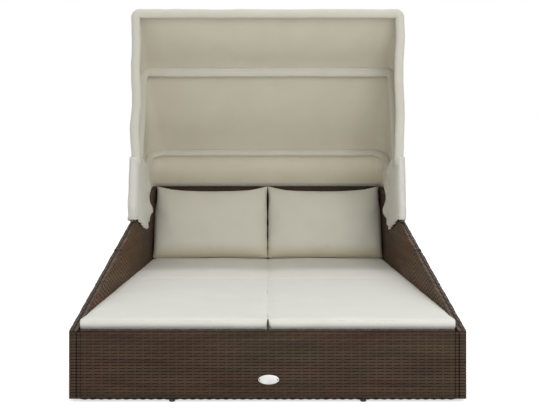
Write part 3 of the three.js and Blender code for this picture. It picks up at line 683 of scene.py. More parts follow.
# Hood cloth: cream woven polyester. Each hoop runs in a stitched sleeve, and three panels of the
# same cloth are sewn to the sleeves: the roof, the back, and the lowest one with its hem.
cloth_thickness = 0.0012
sleeve_tones = ((0.655, 0.628, 0.540), (0.685, 0.660, 0.575))
inner_tones = ((0.665, 0.630, 0.530), (0.695, 0.660, 0.560))
# The roof and back panels are a darker copy of the same cloth, a painted shade.
panel_shade_tones = ((0.600, 0.566, 0.468), (0.627, 0.595, 0.499))
thread_colour = (0.50, 0.48, 0.40, 1)
cloth_pitch = 0.0009
stitch_from_edge = 0.004
stitch_length = 0.0046
stitch_share = 0.72
stitch_half_width = 0.0004
seam_reach = 0.006
no_seam = 0.01
hoop_x = (arm_rear_high[0] - arm_rear_low[0]) / 2 + abs(arm_rear_high[0])
bolt_low, bolt_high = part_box("pivot_bolt_left")
pivot = Vector((0, (bolt_low[1] + bolt_high[1]) / 2, (bolt_low[2] + bolt_high[2]) / 2))
hoops = {
    "front": {"reach": 0.870, "corner": 0.025, "angle": 90.7, "outside": 0.0128, "inside": 0.0275},
    "middle": {"reach": 0.689, "corner": 0.032, "angle": 66.9, "outside": 0.0124, "inside": 0.0245},
    "rear": {"reach": 0.606, "corner": 0.080, "angle": 24.9, "outside": 0.0124, "inside": 0.0225},
}
# Folded hoops lie this far apart, so that their sleeves are narrow near the pivot.
folded_half_angle = math.radians(5)
sleeve_clearance = 0.001
least_across = 0.2
sleeve_half_width = 0.0168
sleeve_proud = 0.0024
sleeve_start = 0.140
leg_steps = 44
corner_steps = 10
bar_steps = 48
panel_start = 0.150
seam_sink = 0.0008
sag_share = 0.035
# Unevenness of cloth: how deep it is, and over what size it changes.
panel_ripple = (0.0026, 0.34)
panel_crinkle = (0.0004, 0.09)
panel_pucker = (0.0009, 0.06)
pucker_start = 0.02
pucker_fade = 0.03
sleeve_crinkle = (0.0007, 0.045)
sleeve_ripple = (0.0012, 0.16)
# How the legs of the front sleeve bow: a wave of this depth that is furthest out at its level,
# all of it shifted outwards, spread below spread_top, and straight below the foot's height.
front_leg_bows = {
    "left": {"depth": 0.0028, "level": 1.133, "pitch": 0.262, "shift": -0.0008, "spread": 0.0040,
             "foot": 0.64},
    "right": {"depth": 0.0030, "level": 0.90, "pitch": 0.42, "shift": 0.0002, "spread": 0,
              "foot": 0.72},
}
bow_top = 1.36
bow_fade = 0.1
spread_top = 1.0
spread_fade = 0.12
sleeve_outer_steps = 16
sleeve_inner_steps = 14
hem_corner = 0.025
hem_rise = 0.0020


def canvas_cloth(name, tones, on_surface, clearness=0):
    """Woven cream cloth. on_surface: the weave follows the piece's own measure in metres, and
    clearness is how much light comes through from behind."""
    material, tree, paint = new_material(name)
    place = shader(tree, "TexCoord", {})
    patches = clouds(tree, place["Object"], 9, 6)
    height = None
    for axis in "XY" if on_surface else "XYZ":
        threads = shader(tree, "TexWave", {
            "Vector": place["UV" if on_surface else "Object"], "Scale": 0.314 / cloth_pitch,
            "Distortion": 0.6, "Detail Scale": 2}, bands_direction=axis)["Fac"]
        height = threads if height is None else computed(tree, "ADD", height, threads)
    stitch = stitch_mask(tree)
    raised = computed(tree, "MULTIPLY_ADD", stitch, 4, height)
    feed(paint, {
        "Base Color": mixed(tree, stitch, toned(tree, patches, tones, (0.3, 0.7)), thread_colour),
        "Roughness": graded(tree, patches, (0.78, 0.96)),
        "Normal": relief(tree, raised, 0.4, 0.00012),
        "Specular IOR Level": 0.25, "Sheen Weight": 0.12, "Sheen Roughness": 0.6,
        "Subsurface Weight": clearness, "Subsurface Radius": (1, 0.9, 0.7),
        "Subsurface Scale": 0.006})
    return material


def stitch_mask(tree):
    """1 on the stitches of a seam, from the piece's own run along it and gap from its edge."""
    run, gap = (shader(tree, "Attribute", {}, attribute_name=name)["Fac"]
                for name in ("seam_run", "seam_gap"))
    within_one = computed(tree, "FRACT", computed(tree, "MULTIPLY", run, 1 / stitch_length))
    drawn = computed(tree, "LESS_THAN", within_one, stitch_share)
    near = computed(tree, "COMPARE", gap, stitch_from_edge, stitch_half_width)
    return computed(tree, "MULTIPLY", drawn, near)


sleeve_cloth = canvas_cloth("hood_canvas", sleeve_tones, True, 0.12)
shaded_panel_cloth = canvas_cloth("panel_canvas", panel_shade_tones, True, 0.12)
inner_cloth = canvas_cloth("inner_canvas", inner_tones, True, 0.35)


def within(value, low=0, high=1):
    return max(low, min(high, value))


def lengths_along(points):
    """How far each point lies along a line through all of them."""
    lengths = [0]
    for a, b in zip(points, points[1:]):
        lengths.append(lengths[-1] + (b - a).length)
    return lengths


def cloth_grid(name, points, gaps=None):
    """A cloth through rows of points, with its measures in metres as its own UV map."""
    columns, rows = len(points) - 1, len(points[0]) - 1
    bpy.ops.mesh.primitive_grid_add(x_subdivisions=columns, y_subdivisions=rows, size=2)
    cloth = named(name)
    mesh = cloth.data
    runs = lengths_along([column[rows // 2] for column in points])
    falls = lengths_along(points[columns // 2])
    cells = []
    for vertex in mesh.vertices:
        i = round((vertex.co.x + 1) / 2 * columns)
        j = round((vertex.co.y + 1) / 2 * rows)
        cells.append((i, j))
        vertex.co = points[i][j]
    for loop in mesh.loops:
        i, j = cells[loop.vertex_index]
        mesh.uv_layers.active.data[loop.index].uv = (runs[i], falls[j])
    if gaps:
        for label, values in (("seam_run", [runs[i] for i, j in cells]),
                              ("seam_gap", [gaps[i][j] for i, j in cells])):
            mesh.attributes.new(label, "FLOAT", "POINT").data.foreach_set("value", values)
    return cloth


def finished_cloth(cloth, finish, thickness=cloth_thickness, closed=False):
    """Merges a closed sleeve's ends, turns its faces out, and gives the cloth its thickness."""
    with editing(cloth):
        if closed:
            bpy.ops.mesh.remove_doubles(threshold=0.00001)
            bpy.ops.mesh.normals_make_consistent(inside=False)
    bpy.ops.object.shade_smooth()
    modified(cloth, "SOLIDIFY", thickness=thickness, offset=-1 if closed else 0)
    cloth.data.materials.clear()
    cloth.data.materials.append(finish)
    return cloth


def stations(reach, corner, start):
    """Stations from the right leg's foot over the bar to the left: (x, r, out in x, out in r)."""
    leg_end, bar_end = reach - corner, hoop_x - corner
    half = [(hoop_x, start + (leg_end - start) * i / leg_steps, 1, 0) for i in range(leg_steps)]
    for i in range(corner_steps):
        turn = i / corner_steps * math.pi / 2
        half.append((bar_end + corner * math.cos(turn), leg_end + corner * math.sin(turn),
                     math.cos(turn), math.sin(turn)))
    half += [(bar_end * (1 - i / bar_steps), reach, 0, 1) for i in range(bar_steps + 1)]
    return half + [(-x, r, -out_x, out_r) for x, r, out_x, out_r in reversed(half[:-1])]


def hoop_edge(name, start):
    """Every station of a hoop, with the ways out of the hoop's bend and across its plane."""
    hoop = hoops[name]
    turn = math.radians(hoop["angle"])
    radial = Vector((0, math.cos(turn), math.sin(turn)))
    across = Vector((0, -math.sin(turn), math.cos(turn)))
    return [{"centre": pivot + radial * r + Vector((x, 0, 0)), "across": across, "r": r,
             "out": Vector((out_x, 0, 0)) + radial * out_r,
             "radius": hoop["outside"] - sleeve_proud}
            for x, r, out_x, out_r in stations(hoop["reach"], hoop["corner"], start)]


def hem_edge():
    """The line on which the lowest panel's hem lies: along the arm tops and the back panel."""
    bar_y = (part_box("back_panel_weave")[0][1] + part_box("back_panel_weave")[1][1]) / 2
    return [{"centre": Vector((x, y, arm_top(y) + hem_rise)), "across": Vector((0, 0, 1)), "r": 1,
             "out": Vector((out_x, out_y, 0)), "radius": seam_sink}
            for x, y, out_x, out_y in stations(bar_y, hem_corner, pivot.y + panel_start)]


def belt_normal(place, chord):
    """The way a hoop faces where cloth leaves it along a chord."""
    normal = place["out"] * place["across"].dot(chord) - place["across"] * place["out"].dot(chord)
    normal.normalize()
    return -normal if normal.dot(place["out"]) < 0 else normal


def panel_points(start_edge, end_edge, rows, seed):
    """Cloth that lies over two hoops like a belt over two pulleys, and sags and ripples between
    them. It is puckered beside its seams."""
    points = []
    for start, end in zip(start_edge, end_edge):
        chord = (end["centre"] - start["centre"]).normalized()
        start_facing, end_facing = belt_normal(start, chord), belt_normal(end, chord)
        start_point = start["centre"] + start_facing * (start["radius"] - seam_sink)
        end_point = end["centre"] + end_facing * (end["radius"] - seam_sink)
        run = end_point - start_point
        column = []
        for j in range(rows + 1):
            share = j / rows
            facing = start_facing.lerp(end_facing, share).normalized()
            place = start_point + run * share
            slack = math.sin(math.pi * share) ** 2
            end_gap = min(share, 1 - share) * run.length
            past = max(0, end_gap - pucker_start)
            pucker = math.exp(-(past / pucker_fade) ** 2)
            lift = -sag_share * run.length * slack
            lift += slack * (ruffle(place, *panel_ripple, seed)
                             + ruffle(place, *panel_crinkle, seed + 1))
            lift += pucker * slack ** 0.3 * ruffle(place * 3, *panel_pucker, seed)
            column.append(place + facing * lift)
        points.append(column)
    return points


def sleeve_half_at(r):
    return min(sleeve_half_width, r * math.sin(folded_half_angle) - sleeve_clearance)


def slope_to(neighbour, place):
    """How steeply a panel falls away from a sleeve on its way to its other edge."""
    chord = (neighbour["centre"] - place["centre"]).normalized()
    return -chord.dot(place["out"]) / max(least_across, abs(chord.dot(place["across"])))


def sleeve_points(name, edge, below, above, seed):
    """The ring of a sleeve round each station. below and above are the edges its panels run to."""
    inside, outside = hoops[name]["inside"], hoops[name]["outside"]
    points, gaps = [], []
    for i, place in enumerate(edge):
        half = sleeve_half_at(place["r"])
        full = within((half - outside) / (sleeve_half_width - outside))
        depth = outside + (inside - outside) * full
        slopes = [slope_to(near[i], place) if near else None for near in (below, above)]
        ring = outer_wall(half, depth, slopes, outside)
        low_edge, high_edge = ring[0][0], ring[-1][0]
        for k in range(1, sleeve_inner_steps + 1):
            turn = math.pi * k / sleeve_inner_steps
            side = high_edge + (low_edge - high_edge) * k / sleeve_inner_steps
            ring.append((side - (depth + side) * math.sin(turn) ** 0.85, half * math.cos(turn)))
        column, gap = [], []
        for out, across in ring:
            spot = place["centre"] + place["out"] * out + place["across"] * across
            swell = ruffle(spot, *sleeve_crinkle, seed) + ruffle(spot, *sleeve_ripple, seed + 2)
            column.append(spot + place["out"] * swell * full)
            outer = out > low_edge - seam_reach
            gap.append(min(abs(half - abs(across)), no_seam) if outer else no_seam)
        points.append(column)
        gaps.append(gap)
    return points, gaps


def outer_wall(half, depth, slopes, outside):
    """From the lower edge over the tube to the upper one, straight along each panel's slope."""
    wall = []
    for k in range(sleeve_outer_steps + 1):
        across = -half * math.cos(math.pi * k / sleeve_outer_steps)
        slope = slopes[0] if across < 0 else slopes[1]
        if slope is None:
            middle = (outside - depth) / 2
            reach = math.sqrt(max(0, 1 - (across / half) ** 2))
            wall.append((middle + (outside - middle) * reach, across))
            continue
        lean = math.atan(slope)
        if abs(across) < outside * math.sin(max(lean, 0)):
            wall.append((math.sqrt(outside ** 2 - across ** 2), across))
        else:
            wall.append((outside / math.cos(lean) - abs(across) * slope, across))
    return wall


def waved(points, edge):
    """The legs of the front sleeve bow in and out a little between the pivot and the corner."""
    for column, place in zip(points, edge):
        rise = place["centre"].z
        side = math.copysign(1, place["centre"].x) * abs(place["out"].x)
        leg = front_leg_bows["left" if side < 0 else "right"]
        swing = math.cos(2 * math.pi * (rise - leg["level"]) / leg["pitch"])
        bow = leg["depth"] * swing + leg["shift"]
        bow += leg["spread"] * within((spread_top - rise) / spread_fade)
        calm = within((bow_top - rise) / bow_fade) * within((rise - leg["foot"]) / bow_fade)
        for spot in column:
            spot.x += bow * side * calm
    return points


sleeve_edges = {name: hoop_edge(name, sleeve_start) for name in hoops}
panel_edges = {name: hoop_edge(name, panel_start) for name in hoops}
hem_line = hem_edge()
neighbours = {"front": ("middle", None), "middle": ("rear", "front"), "rear": (None, "middle")}
for seed, name in enumerate(hoops):
    below, above = (panel_edges.get(near) for near in neighbours[name])
    if name == "rear":
        below = hem_line
    ring_points, ring_gaps = sleeve_points(name, sleeve_edges[name], below, above, seed + 1)
    if name == "front":
        ring_points = waved(ring_points, sleeve_edges[name])
    sleeve = finished_cloth(cloth_grid(f"{name}_hoop_sleeve", ring_points, ring_gaps),
                            sleeve_cloth if name == "front" else inner_cloth, closed=True)
    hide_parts(f"{name}_hoop_pocket")
    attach(sleeve, f"{name}_hoop")

hood_panels = (
    ("hood_roof_cloth", "hood_roof", "middle", "front", 40, 78.8, 0.09, 0.09),
    ("hood_back_cloth", "hood_back", "rear", "middle", 52, 45.9, 0.17, 0.17),
    ("hood_lower_cloth", "hood_lower", None, "rear", 36, 14.0, 0.05, 0.09),
)
for seed, (name, node, low_hoop, high_hoop, rows, middle_angle, before, after) in enumerate(
        hood_panels):
    low_edge = panel_edges[low_hoop] if low_hoop else hem_line
    cloth = cloth_grid(name, panel_points(low_edge, panel_edges[high_hoop], rows, seed + 11))
    finished_cloth(cloth, shaded_panel_cloth if low_hoop else inner_cloth)
    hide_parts(node)
    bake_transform(cloth)


# The hem: the lowest panel's edge, folded twice and stitched, along the arm tops and back panel.
# It lies on the bed, and is part of the lowest panel's sheet.
hem_height = 0.024
hem_rows = 6
hem_proud = 0.0004


def hem_points():
    points, gaps = [], []
    for foot, top in zip(hem_line, panel_edges["rear"]):
        chord = (top["centre"] - foot["centre"]).normalized()
        start = foot["centre"] + belt_normal(foot, chord) * (foot["radius"] + hem_proud)
        points.append([start + chord * hem_height * j / hem_rows for j in range(hem_rows + 1)])
        gaps.append([hem_height * (hem_rows - j) / hem_rows for j in range(hem_rows + 1)])
    return points, gaps


hem = finished_cloth(cloth_grid("hood_hem", *hem_points()), inner_cloth,
                     thickness=1.6 * cloth_thickness)
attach(hem, "bed")


# Pivot covers: a boot of the same cloth round the hoops' feet on each side. It closes round the
# front hoop, hangs over both faces of the arm, and ends in a wavy hem with a longer inner corner.
cover_length = 0.400
cover_front_y = pivot.y - 0.058
cover_hem_z = arm_top(cover_front_y) + 0.0155
cover_top_z = pivot.z + 0.231
cover_inside_x = 0.5690
cover_nearest_arm_x = 0.5735
cover_outer_arm_x = 0.6040
cover_drop = 0.064
cover_runs = (1.2, 1.0, 0.88, 0.75, 0.5, 0.25, 0.06, 0)
cover_tops = (0.14, 0.66, 0.8, 0.875, 0.95, 1, 1, 1)
cover_hems = (-0.1, 0.5, 0.8, 1, 0.75, 0.42, 0.12, 0)
cover_side_steps = 44
cover_front_steps = 12
cover_rows = 30
cover_corner_radius = 0.0235
cover_side_on = 0.3
cover_top_gap = 0.0235
cover_wave = 0.0045
cover_wave_turns = 31
cover_crinkle = (0.0030, 0.05)
cover_ripple = (0.0014, 0.11)
outer_hem_lift = 0.4
seam_gap_share = 0.35
# The dents in the inside of a cover: the height of one, the next one's distance, their foot.
lobe_level = 0.497
lobe_pitch = 0.109
lobe_foot = 0.435
lobe_fade = 0.04
# The covers are a lighter copy of the hood's cloth, a painted light.
cover_lit_tones = ((0.775, 0.740, 0.638), (0.800, 0.770, 0.672))
cover_cloth = canvas_cloth("cover_canvas", cover_lit_tones, True, 0.5)


def eased(run, table):
    """The value at a run along the cover, smooth between the places of the table."""
    for i in range(len(cover_runs) - 1):
        if cover_runs[i] >= run >= cover_runs[i + 1]:
            share = (cover_runs[i] - run) / (cover_runs[i] - cover_runs[i + 1])
            square, cube = share ** 2, share ** 3
            a, b = table[i], table[i + 1]
            slope_a = (b - table[max(0, i - 1)]) / 2
            slope_b = (table[min(len(table) - 1, i + 2)] - a) / 2
            return ((2 * cube - 3 * square + 1) * a + (cube - 2 * square + share) * slope_a
                    + (3 * square - 2 * cube) * b + (cube - square) * slope_b)
    return table[-1]


def cover_path(height, outside):
    """Points round one level of the right cover: outside, front, inside. (x, y, run, facing)."""
    inside, radius = cover_inside_x, cover_corner_radius
    top_y = pivot.y - cover_top_gap
    front = top_y + (cover_front_y - top_y) * min(1, (1 - height) * 1.25) ** 1.3
    length = cover_length + cover_front_y - front

    def beside_arm(x, run, facing):
        return x, front + radius + (length - radius) * run, run, (facing, 0)

    path = [beside_arm(outside, cover_runs[0] * (1 - i / cover_side_steps), 1)
            for i in range(cover_side_steps)]
    for k in range(cover_front_steps + 1):
        turn = math.pi * k / cover_front_steps
        bend = (outside - inside) / 2 - radius
        middle = (outside + inside) / 2 + bend * within(math.cos(turn) * 1.6, -1)
        path.append((middle + radius * math.cos(turn), front + radius - radius * math.sin(turn), 0,
                     (math.cos(turn), -math.sin(turn))))
    return path + [beside_arm(inside, cover_runs[0] * i / cover_side_steps, -1)
                   for i in range(1, cover_side_steps + 1)]


def cover_points(outside, seed, lobe_depth):
    columns = 2 * cover_side_steps + cover_front_steps + 1
    points, gaps = ([[None] * (cover_rows + 1) for _ in range(columns)] for _ in range(2))
    for j in range(cover_rows + 1):
        height = j / cover_rows
        loose = (1 - height) ** 1.2
        for i, (x, y, run, facing) in enumerate(cover_path(height, outside)):
            inner = facing[0] < -cover_side_on
            top = cover_hem_z + (cover_top_z - cover_hem_z) * eased(run, cover_tops)
            hem_z = cover_hem_z - cover_drop * eased(run, cover_hems)
            if not inner:
                hem_z += outer_hem_lift * cover_drop * min(1, run) * eased(run, cover_hems)
            z = hem_z + (top - hem_z) * height
            wave = cover_wave * loose * math.sin(run * cover_wave_turns + seed) * min(1, run * 6)
            wave += (loose * ruffle((x, y, z), *cover_crinkle, seed)
                     + ruffle((x, y, z), *cover_ripple, seed + 5))
            if inner:
                lobes = math.cos(2 * math.pi * (z - lobe_level) / lobe_pitch)
                lobes *= within((z - lobe_foot) / lobe_fade)
                wave += (lobe_depth * lobes * min(1, (run / 0.7) ** 2)
                         * min(1, loose * 3 + max(0, run - 0.8) * 4))
            x += facing[0] * wave
            if inner:
                x = min(x, cover_nearest_arm_x)
            elif facing[0] > cover_side_on:
                x = max(x, cover_outer_arm_x)
            points[i][j] = Vector((x, y + facing[1] * wave, z))
            gaps[i][j] = (z - hem_z) * seam_gap_share
    return points, gaps


def make_cover(side, sign, outside, seed, lobe_depth):
    points, gaps = cover_points(outside, seed, lobe_depth)
    for column in points:
        for spot in column:
            spot.x *= sign
    cover = finished_cloth(cloth_grid(f"pivot_cover_cloth_{side}", points, gaps), cover_cloth)
    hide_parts(f"pivot_cover_{side}")
    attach(cover, "bed")
    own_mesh(cover)


make_cover("left", -1, 0.6115, 1, 0.0075)
make_cover("right", 1, 0.6045, 4, 0.0050)


# Seat cushions: foam slabs in sewn covers of the same cloth, boxed at the edges, with a sewn
# crease across the middle. They lie loose on the deck.
# The cushions are a lighter copy of the hood's cloth, a painted light.
cushion_lit_tones = ((0.765, 0.762, 0.700), (0.790, 0.788, 0.735))
simulation_frames = 20


def swollen(piece, voxel, pressure, cap):
    """Fills a pad with air for a moment, so that its cover bulges and puckers as sewn cloth
    does. No point moves further than the cap."""
    modified(piece, "REMESH", mode="VOXEL", voxel_size=voxel)
    rest = [vertex.co.copy() for vertex in piece.data.vertices]
    bpy.ops.object.modifier_add(type="CLOTH")
    cloth = piece.modifiers[-1]
    cloth.settings.use_pressure = True
    cloth.settings.uniform_pressure_force = pressure
    cloth.settings.effector_weights.gravity = 0
    cloth.settings.quality = 4
    cloth.settings.mass = 0.3
    cloth.point_cache.frame_start = 1
    cloth.point_cache.frame_end = simulation_frames
    for step in range(1, simulation_frames + 1):
        bpy.context.scene.frame_set(step)
    bpy.ops.object.modifier_apply(modifier=cloth.name)
    bpy.context.scene.frame_set(1)
    for vertex, start in zip(piece.data.vertices, rest):
        move = vertex.co - start
        if move.length > cap:
            vertex.co = start + move.normalized() * cap


def softened(piece):
    modified(piece, "SUBSURF", levels=1, render_levels=1)
    bpy.ops.object.shade_smooth()


def seam_cord(piece, outline):
    """The cord of a sewn edge: it lies where the cover is nearest to the points of an outline."""
    bpy.context.view_layer.update()
    spots = [piece.closest_point_on_mesh(point)[1] for point in outline]
    bpy.ops.mesh.primitive_circle_add(vertices=len(spots), fill_type="NOTHING", location=(0, 0, 0))
    cord = bpy.context.object
    for vertex, spot in zip(cord.data.vertices, spots):
        vertex.co = spot
    bpy.ops.object.convert(target="CURVE")
    cord.data.bevel_depth = seam_cord_radius
    cord.data.bevel_resolution = 1
    bpy.ops.object.convert(target="MESH")
    bpy.ops.object.shade_smooth()
    return cord


def frame_outline(half_x, half_y, z):
    """Points round a rectangle."""
    corners = [(-half_x, -half_y), (half_x, -half_y), (half_x, half_y), (-half_x, half_y)]
    outline = []
    for (ax, ay), (bx, by) in zip(corners, corners[1:] + corners[:1]):
        count = round(math.hypot(bx - ax, by - ay) / seam_cord_step)
        outline += [Vector((ax + (bx - ax) * i / count, ay + (by - ay) * i / count, z))
                    for i in range(count)]
    return outline


def dress_padding(piece, node, cloth):
    piece.data.materials.clear()
    piece.data.materials.append(cloth)
    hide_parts(node)
    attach(piece, node)


cushion_low, cushion_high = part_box("seat_cushion_left")
cushion_crown = 0.0047
slab_trim = (0.001, 0.003, 0.001)
cushion_edge = 0.0075
cushion_stretch = 0.0045
cushion_crispness = 0.36
inner_crispness = 0.10
crisp_reach = 0.014
cushion_press = 0.0011
inner_edge_share = 0.78
cushion_edge_dip = 0.0045
seam_cord_radius = 0.0011
seam_cord_step = 0.008
crease_y = 0.004
crease_depth = 0.0045
crease_width = 0.006
crease_under = 0.3
front_notch = 0.0140
front_tuck = 0.042
inner_edge_reach = 0.009
corner_kept = 0.02
side_facing = 0.2
top_facing = 0.97
up_fade = 0.4
out_fade = 0.3
cushion_ripple = (0.0011, 0.13)
crease_pull = 0.0016
side_wander = (0.0016, 0.11)
wander_reach = 0.08
cord_proud = 0.003


def crisped(value, half, other_gaps, firm):
    """Draws a rounded edge out towards the corner of its box."""
    gap = half - abs(value)
    near = within(min(other_gaps) / crisp_reach)
    if gap <= 0 or gap > crisp_reach or near >= 1:
        return value
    share = firm + (1 - firm) * (gap / crisp_reach) ** 2
    return math.copysign(half - gap * (share + (1 - share) * near), value)


def squared_inner_edge(cushion, half):
    """Brings the rounded top edge beside the other cushion nearly to its corner, where the two
    press on each other."""
    wall = half[0] + cushion_press
    near = [vertex for vertex in cushion.data.vertices
            if vertex.co.x > wall - inner_edge_reach and vertex.co.z > half[2] * 0.5
            and vertex.normal.z > side_facing and abs(vertex.co.y) < half[1] - corner_kept]
    moves = []
    for vertex in near:
        facing = vertex.normal.z
        upward = inner_edge_share * min(1, (facing - side_facing) / up_fade)
        sideways = inner_edge_share * min(1, max(0, top_facing - facing) / out_fade)
        sunk = half[2] - vertex.co.z - cushion_edge_dip * math.exp(
            -((vertex.co.y - crease_y) / crease_width) ** 2)
        moves.append((vertex, (wall - vertex.co.x) * sideways, max(0, sunk) * upward))
    for vertex, out, up in moves:
        vertex.co.x += out
        vertex.co.z += up


def make_cushion():
    """The left cushion. High powers of the shares u and v keep a change to the cushion's edges."""
    size = [b - a for a, b in zip(cushion_low, cushion_high)]
    slab_top = size[2] - cushion_crown
    bpy.ops.mesh.primitive_cube_add(size=1)
    cushion = bpy.context.object
    scaled(cushion, (size[0] - slab_trim[0], size[1] - slab_trim[1], slab_top - slab_trim[2]))
    modified(cushion, "BEVEL", width=cushion_edge, segments=3)
    swollen(cushion, voxel=0.0080, pressure=1.6, cap=0.004)
    half = [size[0] / 2, size[1] / 2, slab_top / 2]
    for vertex in cushion.data.vertices:
        spot = [vertex.co.x * (1 + cushion_stretch / half[0]),
                vertex.co.y * (1 + cushion_stretch / half[1]), vertex.co.z]
        gaps = [h - abs(c) for h, c in zip(half, spot)]
        at_other = spot[0] > 0 and gaps[0] < crisp_reach
        firm = inner_crispness if at_other else cushion_crispness
        x, y, z = (crisped(spot[k], half[k], [gaps[j] for j in range(3) if j != k], firm)
                   for k in range(3))
        u, v = within(x / half[0], -1), within(y / half[1], -1)
        crease = math.exp(-((y - crease_y) / crease_width) ** 2)
        if z > 0:
            z += cushion_crown * (1 - u * u) * (1 - v ** 4)
            z -= crease * crease_depth
            z += ruffle((x, y, 0), *cushion_ripple, 3)
        else:
            z += crease * crease_depth * crease_under
        w = z / half[2]
        x -= max(0, u) ** 45 * crease_pull * crease
        x -= front_notch * max(0, u) ** 14 * max(0, -v) ** 50 * within(0.8 - w, 0, 0.6)
        y += front_tuck * max(0, -v) ** 40 * (max(0, 0.35 - w) / 1.35) ** 1.3
        vertex.co = (within(x, -half[0] + 0.0005, half[0] + cushion_press),
                     within(y, -half[1] - 0.002, half[1]), z)
    softened(cushion)
    squared_inner_edge(cushion, half)
    around = [h + cord_proud for h in half]
    cords = [seam_cord(cushion, frame_outline(around[0], around[1], side * around[2]))
             for side in (-1, 1)]
    cushion = joined("seat_cushion_cover_left", [cushion, *cords])
    middle = [(a + b) / 2 for a, b in zip(cushion_low, cushion_high)]
    placed(cushion, (middle[0], middle[1], cushion_low[2] + slab_top / 2))
    for vertex in cushion.data.vertices:
        vertex.co.z = max(vertex.co.z, cushion_low[2] + 0.0002)
    return cushion


def ruffled_side(cushion):
    """Both cushions press on each other along a line that wanders a little."""
    for vertex in cushion.data.vertices:
        near = max(0, 1 - abs(vertex.co.x) / wander_reach) ** 2
        vertex.co.x += near * ruffle((0, vertex.co.y, 0), *side_wander, 8)


left_cushion = make_cushion()
right_cushion = mirrored(left_cushion, "seat_cushion_cover_right")
cushion_cloth = canvas_cloth("cushion_canvas", cushion_lit_tones, False)
for side, cushion in (("left", left_cushion), ("right", right_cushion)):
    ruffled_side(cushion)
    dress_padding(cushion, f"seat_cushion_{side}", cushion_cloth)


# Back pillows: knife-edged covers with pointed corners, loosely filled. They stand on the seat
# cushions and lean on the back panel.
pillow_low, pillow_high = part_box("pillow_left")
pillow_height = 0.392
pillow_thickness = 0.132
pillow_lean = math.radians(26)
pillow_seam = 0.006
pillow_top_draw = 0.027
pillow_inner_press = 0.0012
pillow_foot_press = 0.0040
pillow_foot_from = 0.4
pillow_foot_fade = 0.25
pillow_side_spread = 0.0090
pillow_point = 0.004
# The pillows are a lighter copy of the hood's cloth, a painted light in the hood's shade.
pillow_lit_tones = ((0.725, 0.700, 0.605), (0.755, 0.730, 0.640))
# The warm painted shade at the pillows' foot.
pillow_foot_shade_colour = (0.80, 0.75, 0.64, 1)
pillow_foot_band = (0.005, 0.095)
pillow_slack = 0.006
pillow_cuts = 40
pillow_blunt = {"outer": 10, "inner": 7, "top": 3, "foot": 4.5}
pillow_cord_reach = 0.012


def fullness(share, blunt):
    """How thick a pillow is at a share of the way to its edge: the blunter, the fuller."""
    return max(0, 1 - abs(share) ** blunt) ** 0.5


def make_pillow():
    """The left pillow, made flat and then leant back. Its inner side, u = 1, is at the middle."""
    half = [(pillow_high[0] - pillow_low[0]) / 2, pillow_height / 2, pillow_thickness / 2]
    bpy.ops.mesh.primitive_cube_add(size=2)
    pillow = bpy.context.object
    with editing(pillow):
        bpy.ops.mesh.subdivide(number_cuts=pillow_cuts)
    for vertex in pillow.data.vertices:
        u, v, w = vertex.co
        sides = fullness(u, pillow_blunt["outer" if u < 0 else "inner"])
        ends = fullness(v, pillow_blunt["top" if v > 0 else "foot"])
        bulge = (half[2] - pillow_seam / 2 - pillow_slack) * sides * ends
        vertex.co = (u * half[0], v * half[1], w * (pillow_seam / 2 + bulge))
    swollen(pillow, voxel=0.006, pressure=1.3, cap=0.007)
    modified(pillow, "SMOOTH", iterations=9)
    softened(pillow)
    reach = [max(abs(vertex.co[k]) for vertex in pillow.data.vertices) for k in range(3)]
    for vertex in pillow.data.vertices:
        u, v, w = (vertex.co[k] / reach[k] for k in range(3))
        point = abs(u * v) ** 10 if v > 0 else 0
        x = u * (half[0] - 0.0005) + max(0, u) ** 3 * (
            pillow_inner_press * (1 - v * v)
            + pillow_foot_press * within((-v - pillow_foot_from) / pillow_foot_fade))
        x += math.copysign(pillow_point * point, u)
        x -= pillow_side_spread * max(0, -u) ** 3 * (1 - 0.25 * max(0, v) ** 4)
        y = v * half[1] - pillow_top_draw * (1 - u ** 4) * max(0, v) + pillow_point * point
        x = within(x, -half[0] - pillow_side_spread, half[0] + 0.0002)
        vertex.co = (x, y, w * half[2])
    outline = [(x, y - pillow_top_draw * max(0, 1 - (x / half[0]) ** 4) * (1 if y > 0 else 0), 0)
               for x, y, z in frame_outline(half[0] + pillow_cord_reach,
                                            half[1] + pillow_cord_reach, 0)]
    pillow = joined("pillow_cover_left", [pillow, seam_cord(pillow, outline)])
    placed(pillow, (0, 0, 0), (math.pi / 2 - pillow_lean, "X"))
    low_z = min(vertex.co.z for vertex in pillow.data.vertices)
    back_y = max(vertex.co.y for vertex in pillow.data.vertices)
    return placed(pillow, ((pillow_low[0] + pillow_high[0]) / 2, pillow_high[1] - back_y,
                           pillow_low[2] - low_z))


def shaded_foot(material):
    """Painted shade: darkens and warms the lowest band of the pillows, which lies in their own
    shade.
    """
    tree = material.node_tree
    base = tree.nodes["Principled BSDF"].inputs["Base Color"]
    place = shader(tree, "TexCoord", {})["Object"]
    height = shader(tree, "SeparateXYZ", {"Vector": place})["Z"]
    band = [pillow_low[2] + rise for rise in pillow_foot_band]
    near = graded(tree, height, (1, 0), band, interpolation_type="SMOOTHSTEP")
    tree.links.new(mixed(tree, near, base.links[0].from_socket, pillow_foot_shade_colour, "MULTIPLY"), base)


left_pillow = make_pillow()
right_pillow = mirrored(left_pillow, "pillow_cover_right")
pillow_cloth = canvas_cloth("pillow_canvas", pillow_lit_tones, False)
shaded_foot(pillow_cloth)
for side, pillow in (("left", left_pillow), ("right", right_pillow)):
    dress_padding(pillow, f"pillow_{side}", pillow_cloth)
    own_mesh(pillow)


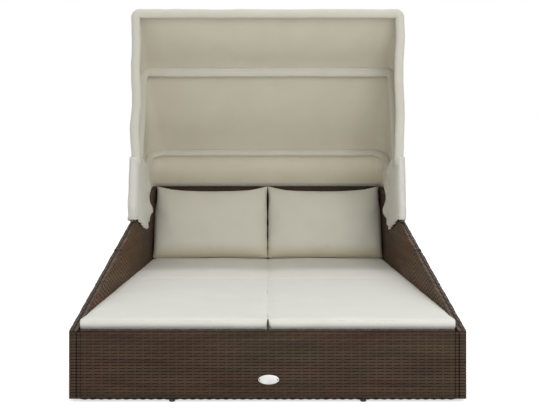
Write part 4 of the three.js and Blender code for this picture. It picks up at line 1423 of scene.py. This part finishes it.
# A small bare oval plate of pressed metal with a stepped rim, held on the front panel by two
# rivets.
plate_place = (0.003, -1.0028, 0.069)
plate_half_width = 0.032
plate_half_height = 0.0150
plate_thickness = 0.0022
plate_rim = 0.0014
plate_step = 0.0006
plate_edge = 0.0003
rivet_radius = 0.0022
rivet_from_middle = 0.0272
rivet_flatness = 0.55
plate_tones = ((0.62, 0.62, 0.61), (0.74, 0.74, 0.73))
rivet_tones = ((0.09, 0.09, 0.09), (0.16, 0.16, 0.16))


def make_plate():
    bpy.ops.mesh.primitive_cylinder_add(vertices=64, radius=1, depth=1, location=(0, 0, 0),
                                        rotation=(quarter_turn, 0, 0))
    plate = named("front_plate")
    scaled(plate, (plate_half_width, plate_half_height, plate_thickness))
    for face in plate.data.polygons:
        face.select = face.normal.y < -0.5
    for edge in plate.data.edges:
        edge.select = False
    with editing(plate, everything=False):
        bpy.ops.mesh.select_mode(type="FACE")
        bpy.ops.mesh.inset(thickness=plate_rim, depth=0)
        bpy.ops.mesh.inset(thickness=plate_step, depth=-plate_step)
        bpy.ops.mesh.select_mode(type="VERT")
    modified(plate, "BEVEL", width=plate_edge, segments=2)
    bpy.ops.object.shade_smooth_by_angle(angle=math.radians(35))
    x, y, z = plate_place
    return placed(plate, (x, y - plate_thickness / 2, z))


def make_rivet(side, across):
    bpy.ops.mesh.primitive_uv_sphere_add(segments=24, ring_count=12, radius=rivet_radius)
    rivet = named(f"front_plate_rivet_{side}")
    scaled(rivet, (1, rivet_flatness, 1))
    trim(rivet, (0, 0.0002, 0), (0, 1, 0))
    bpy.ops.object.shade_smooth_by_angle(angle=math.radians(40))
    x, y, z = plate_place
    return placed(rivet, (x + across, y - plate_thickness + plate_step, z))


def dress_metal(piece, finish):
    piece.data.materials.append(finish)
    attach(piece, "bed")


dress_metal(make_plate(),
            mottled_finish("brushed_plate", plate_tones, 600, (0.3, 0.42), 0.00003, 0.3))
rivet_finish = mottled_finish("rivet_metal", rivet_tones, 800, (0.35, 0.5), 0.00003, 0.8)
dress_metal(make_rivet("left", -rivet_from_middle), rivet_finish)
dress_metal(make_rivet("right", rivet_from_middle), rivet_finish)
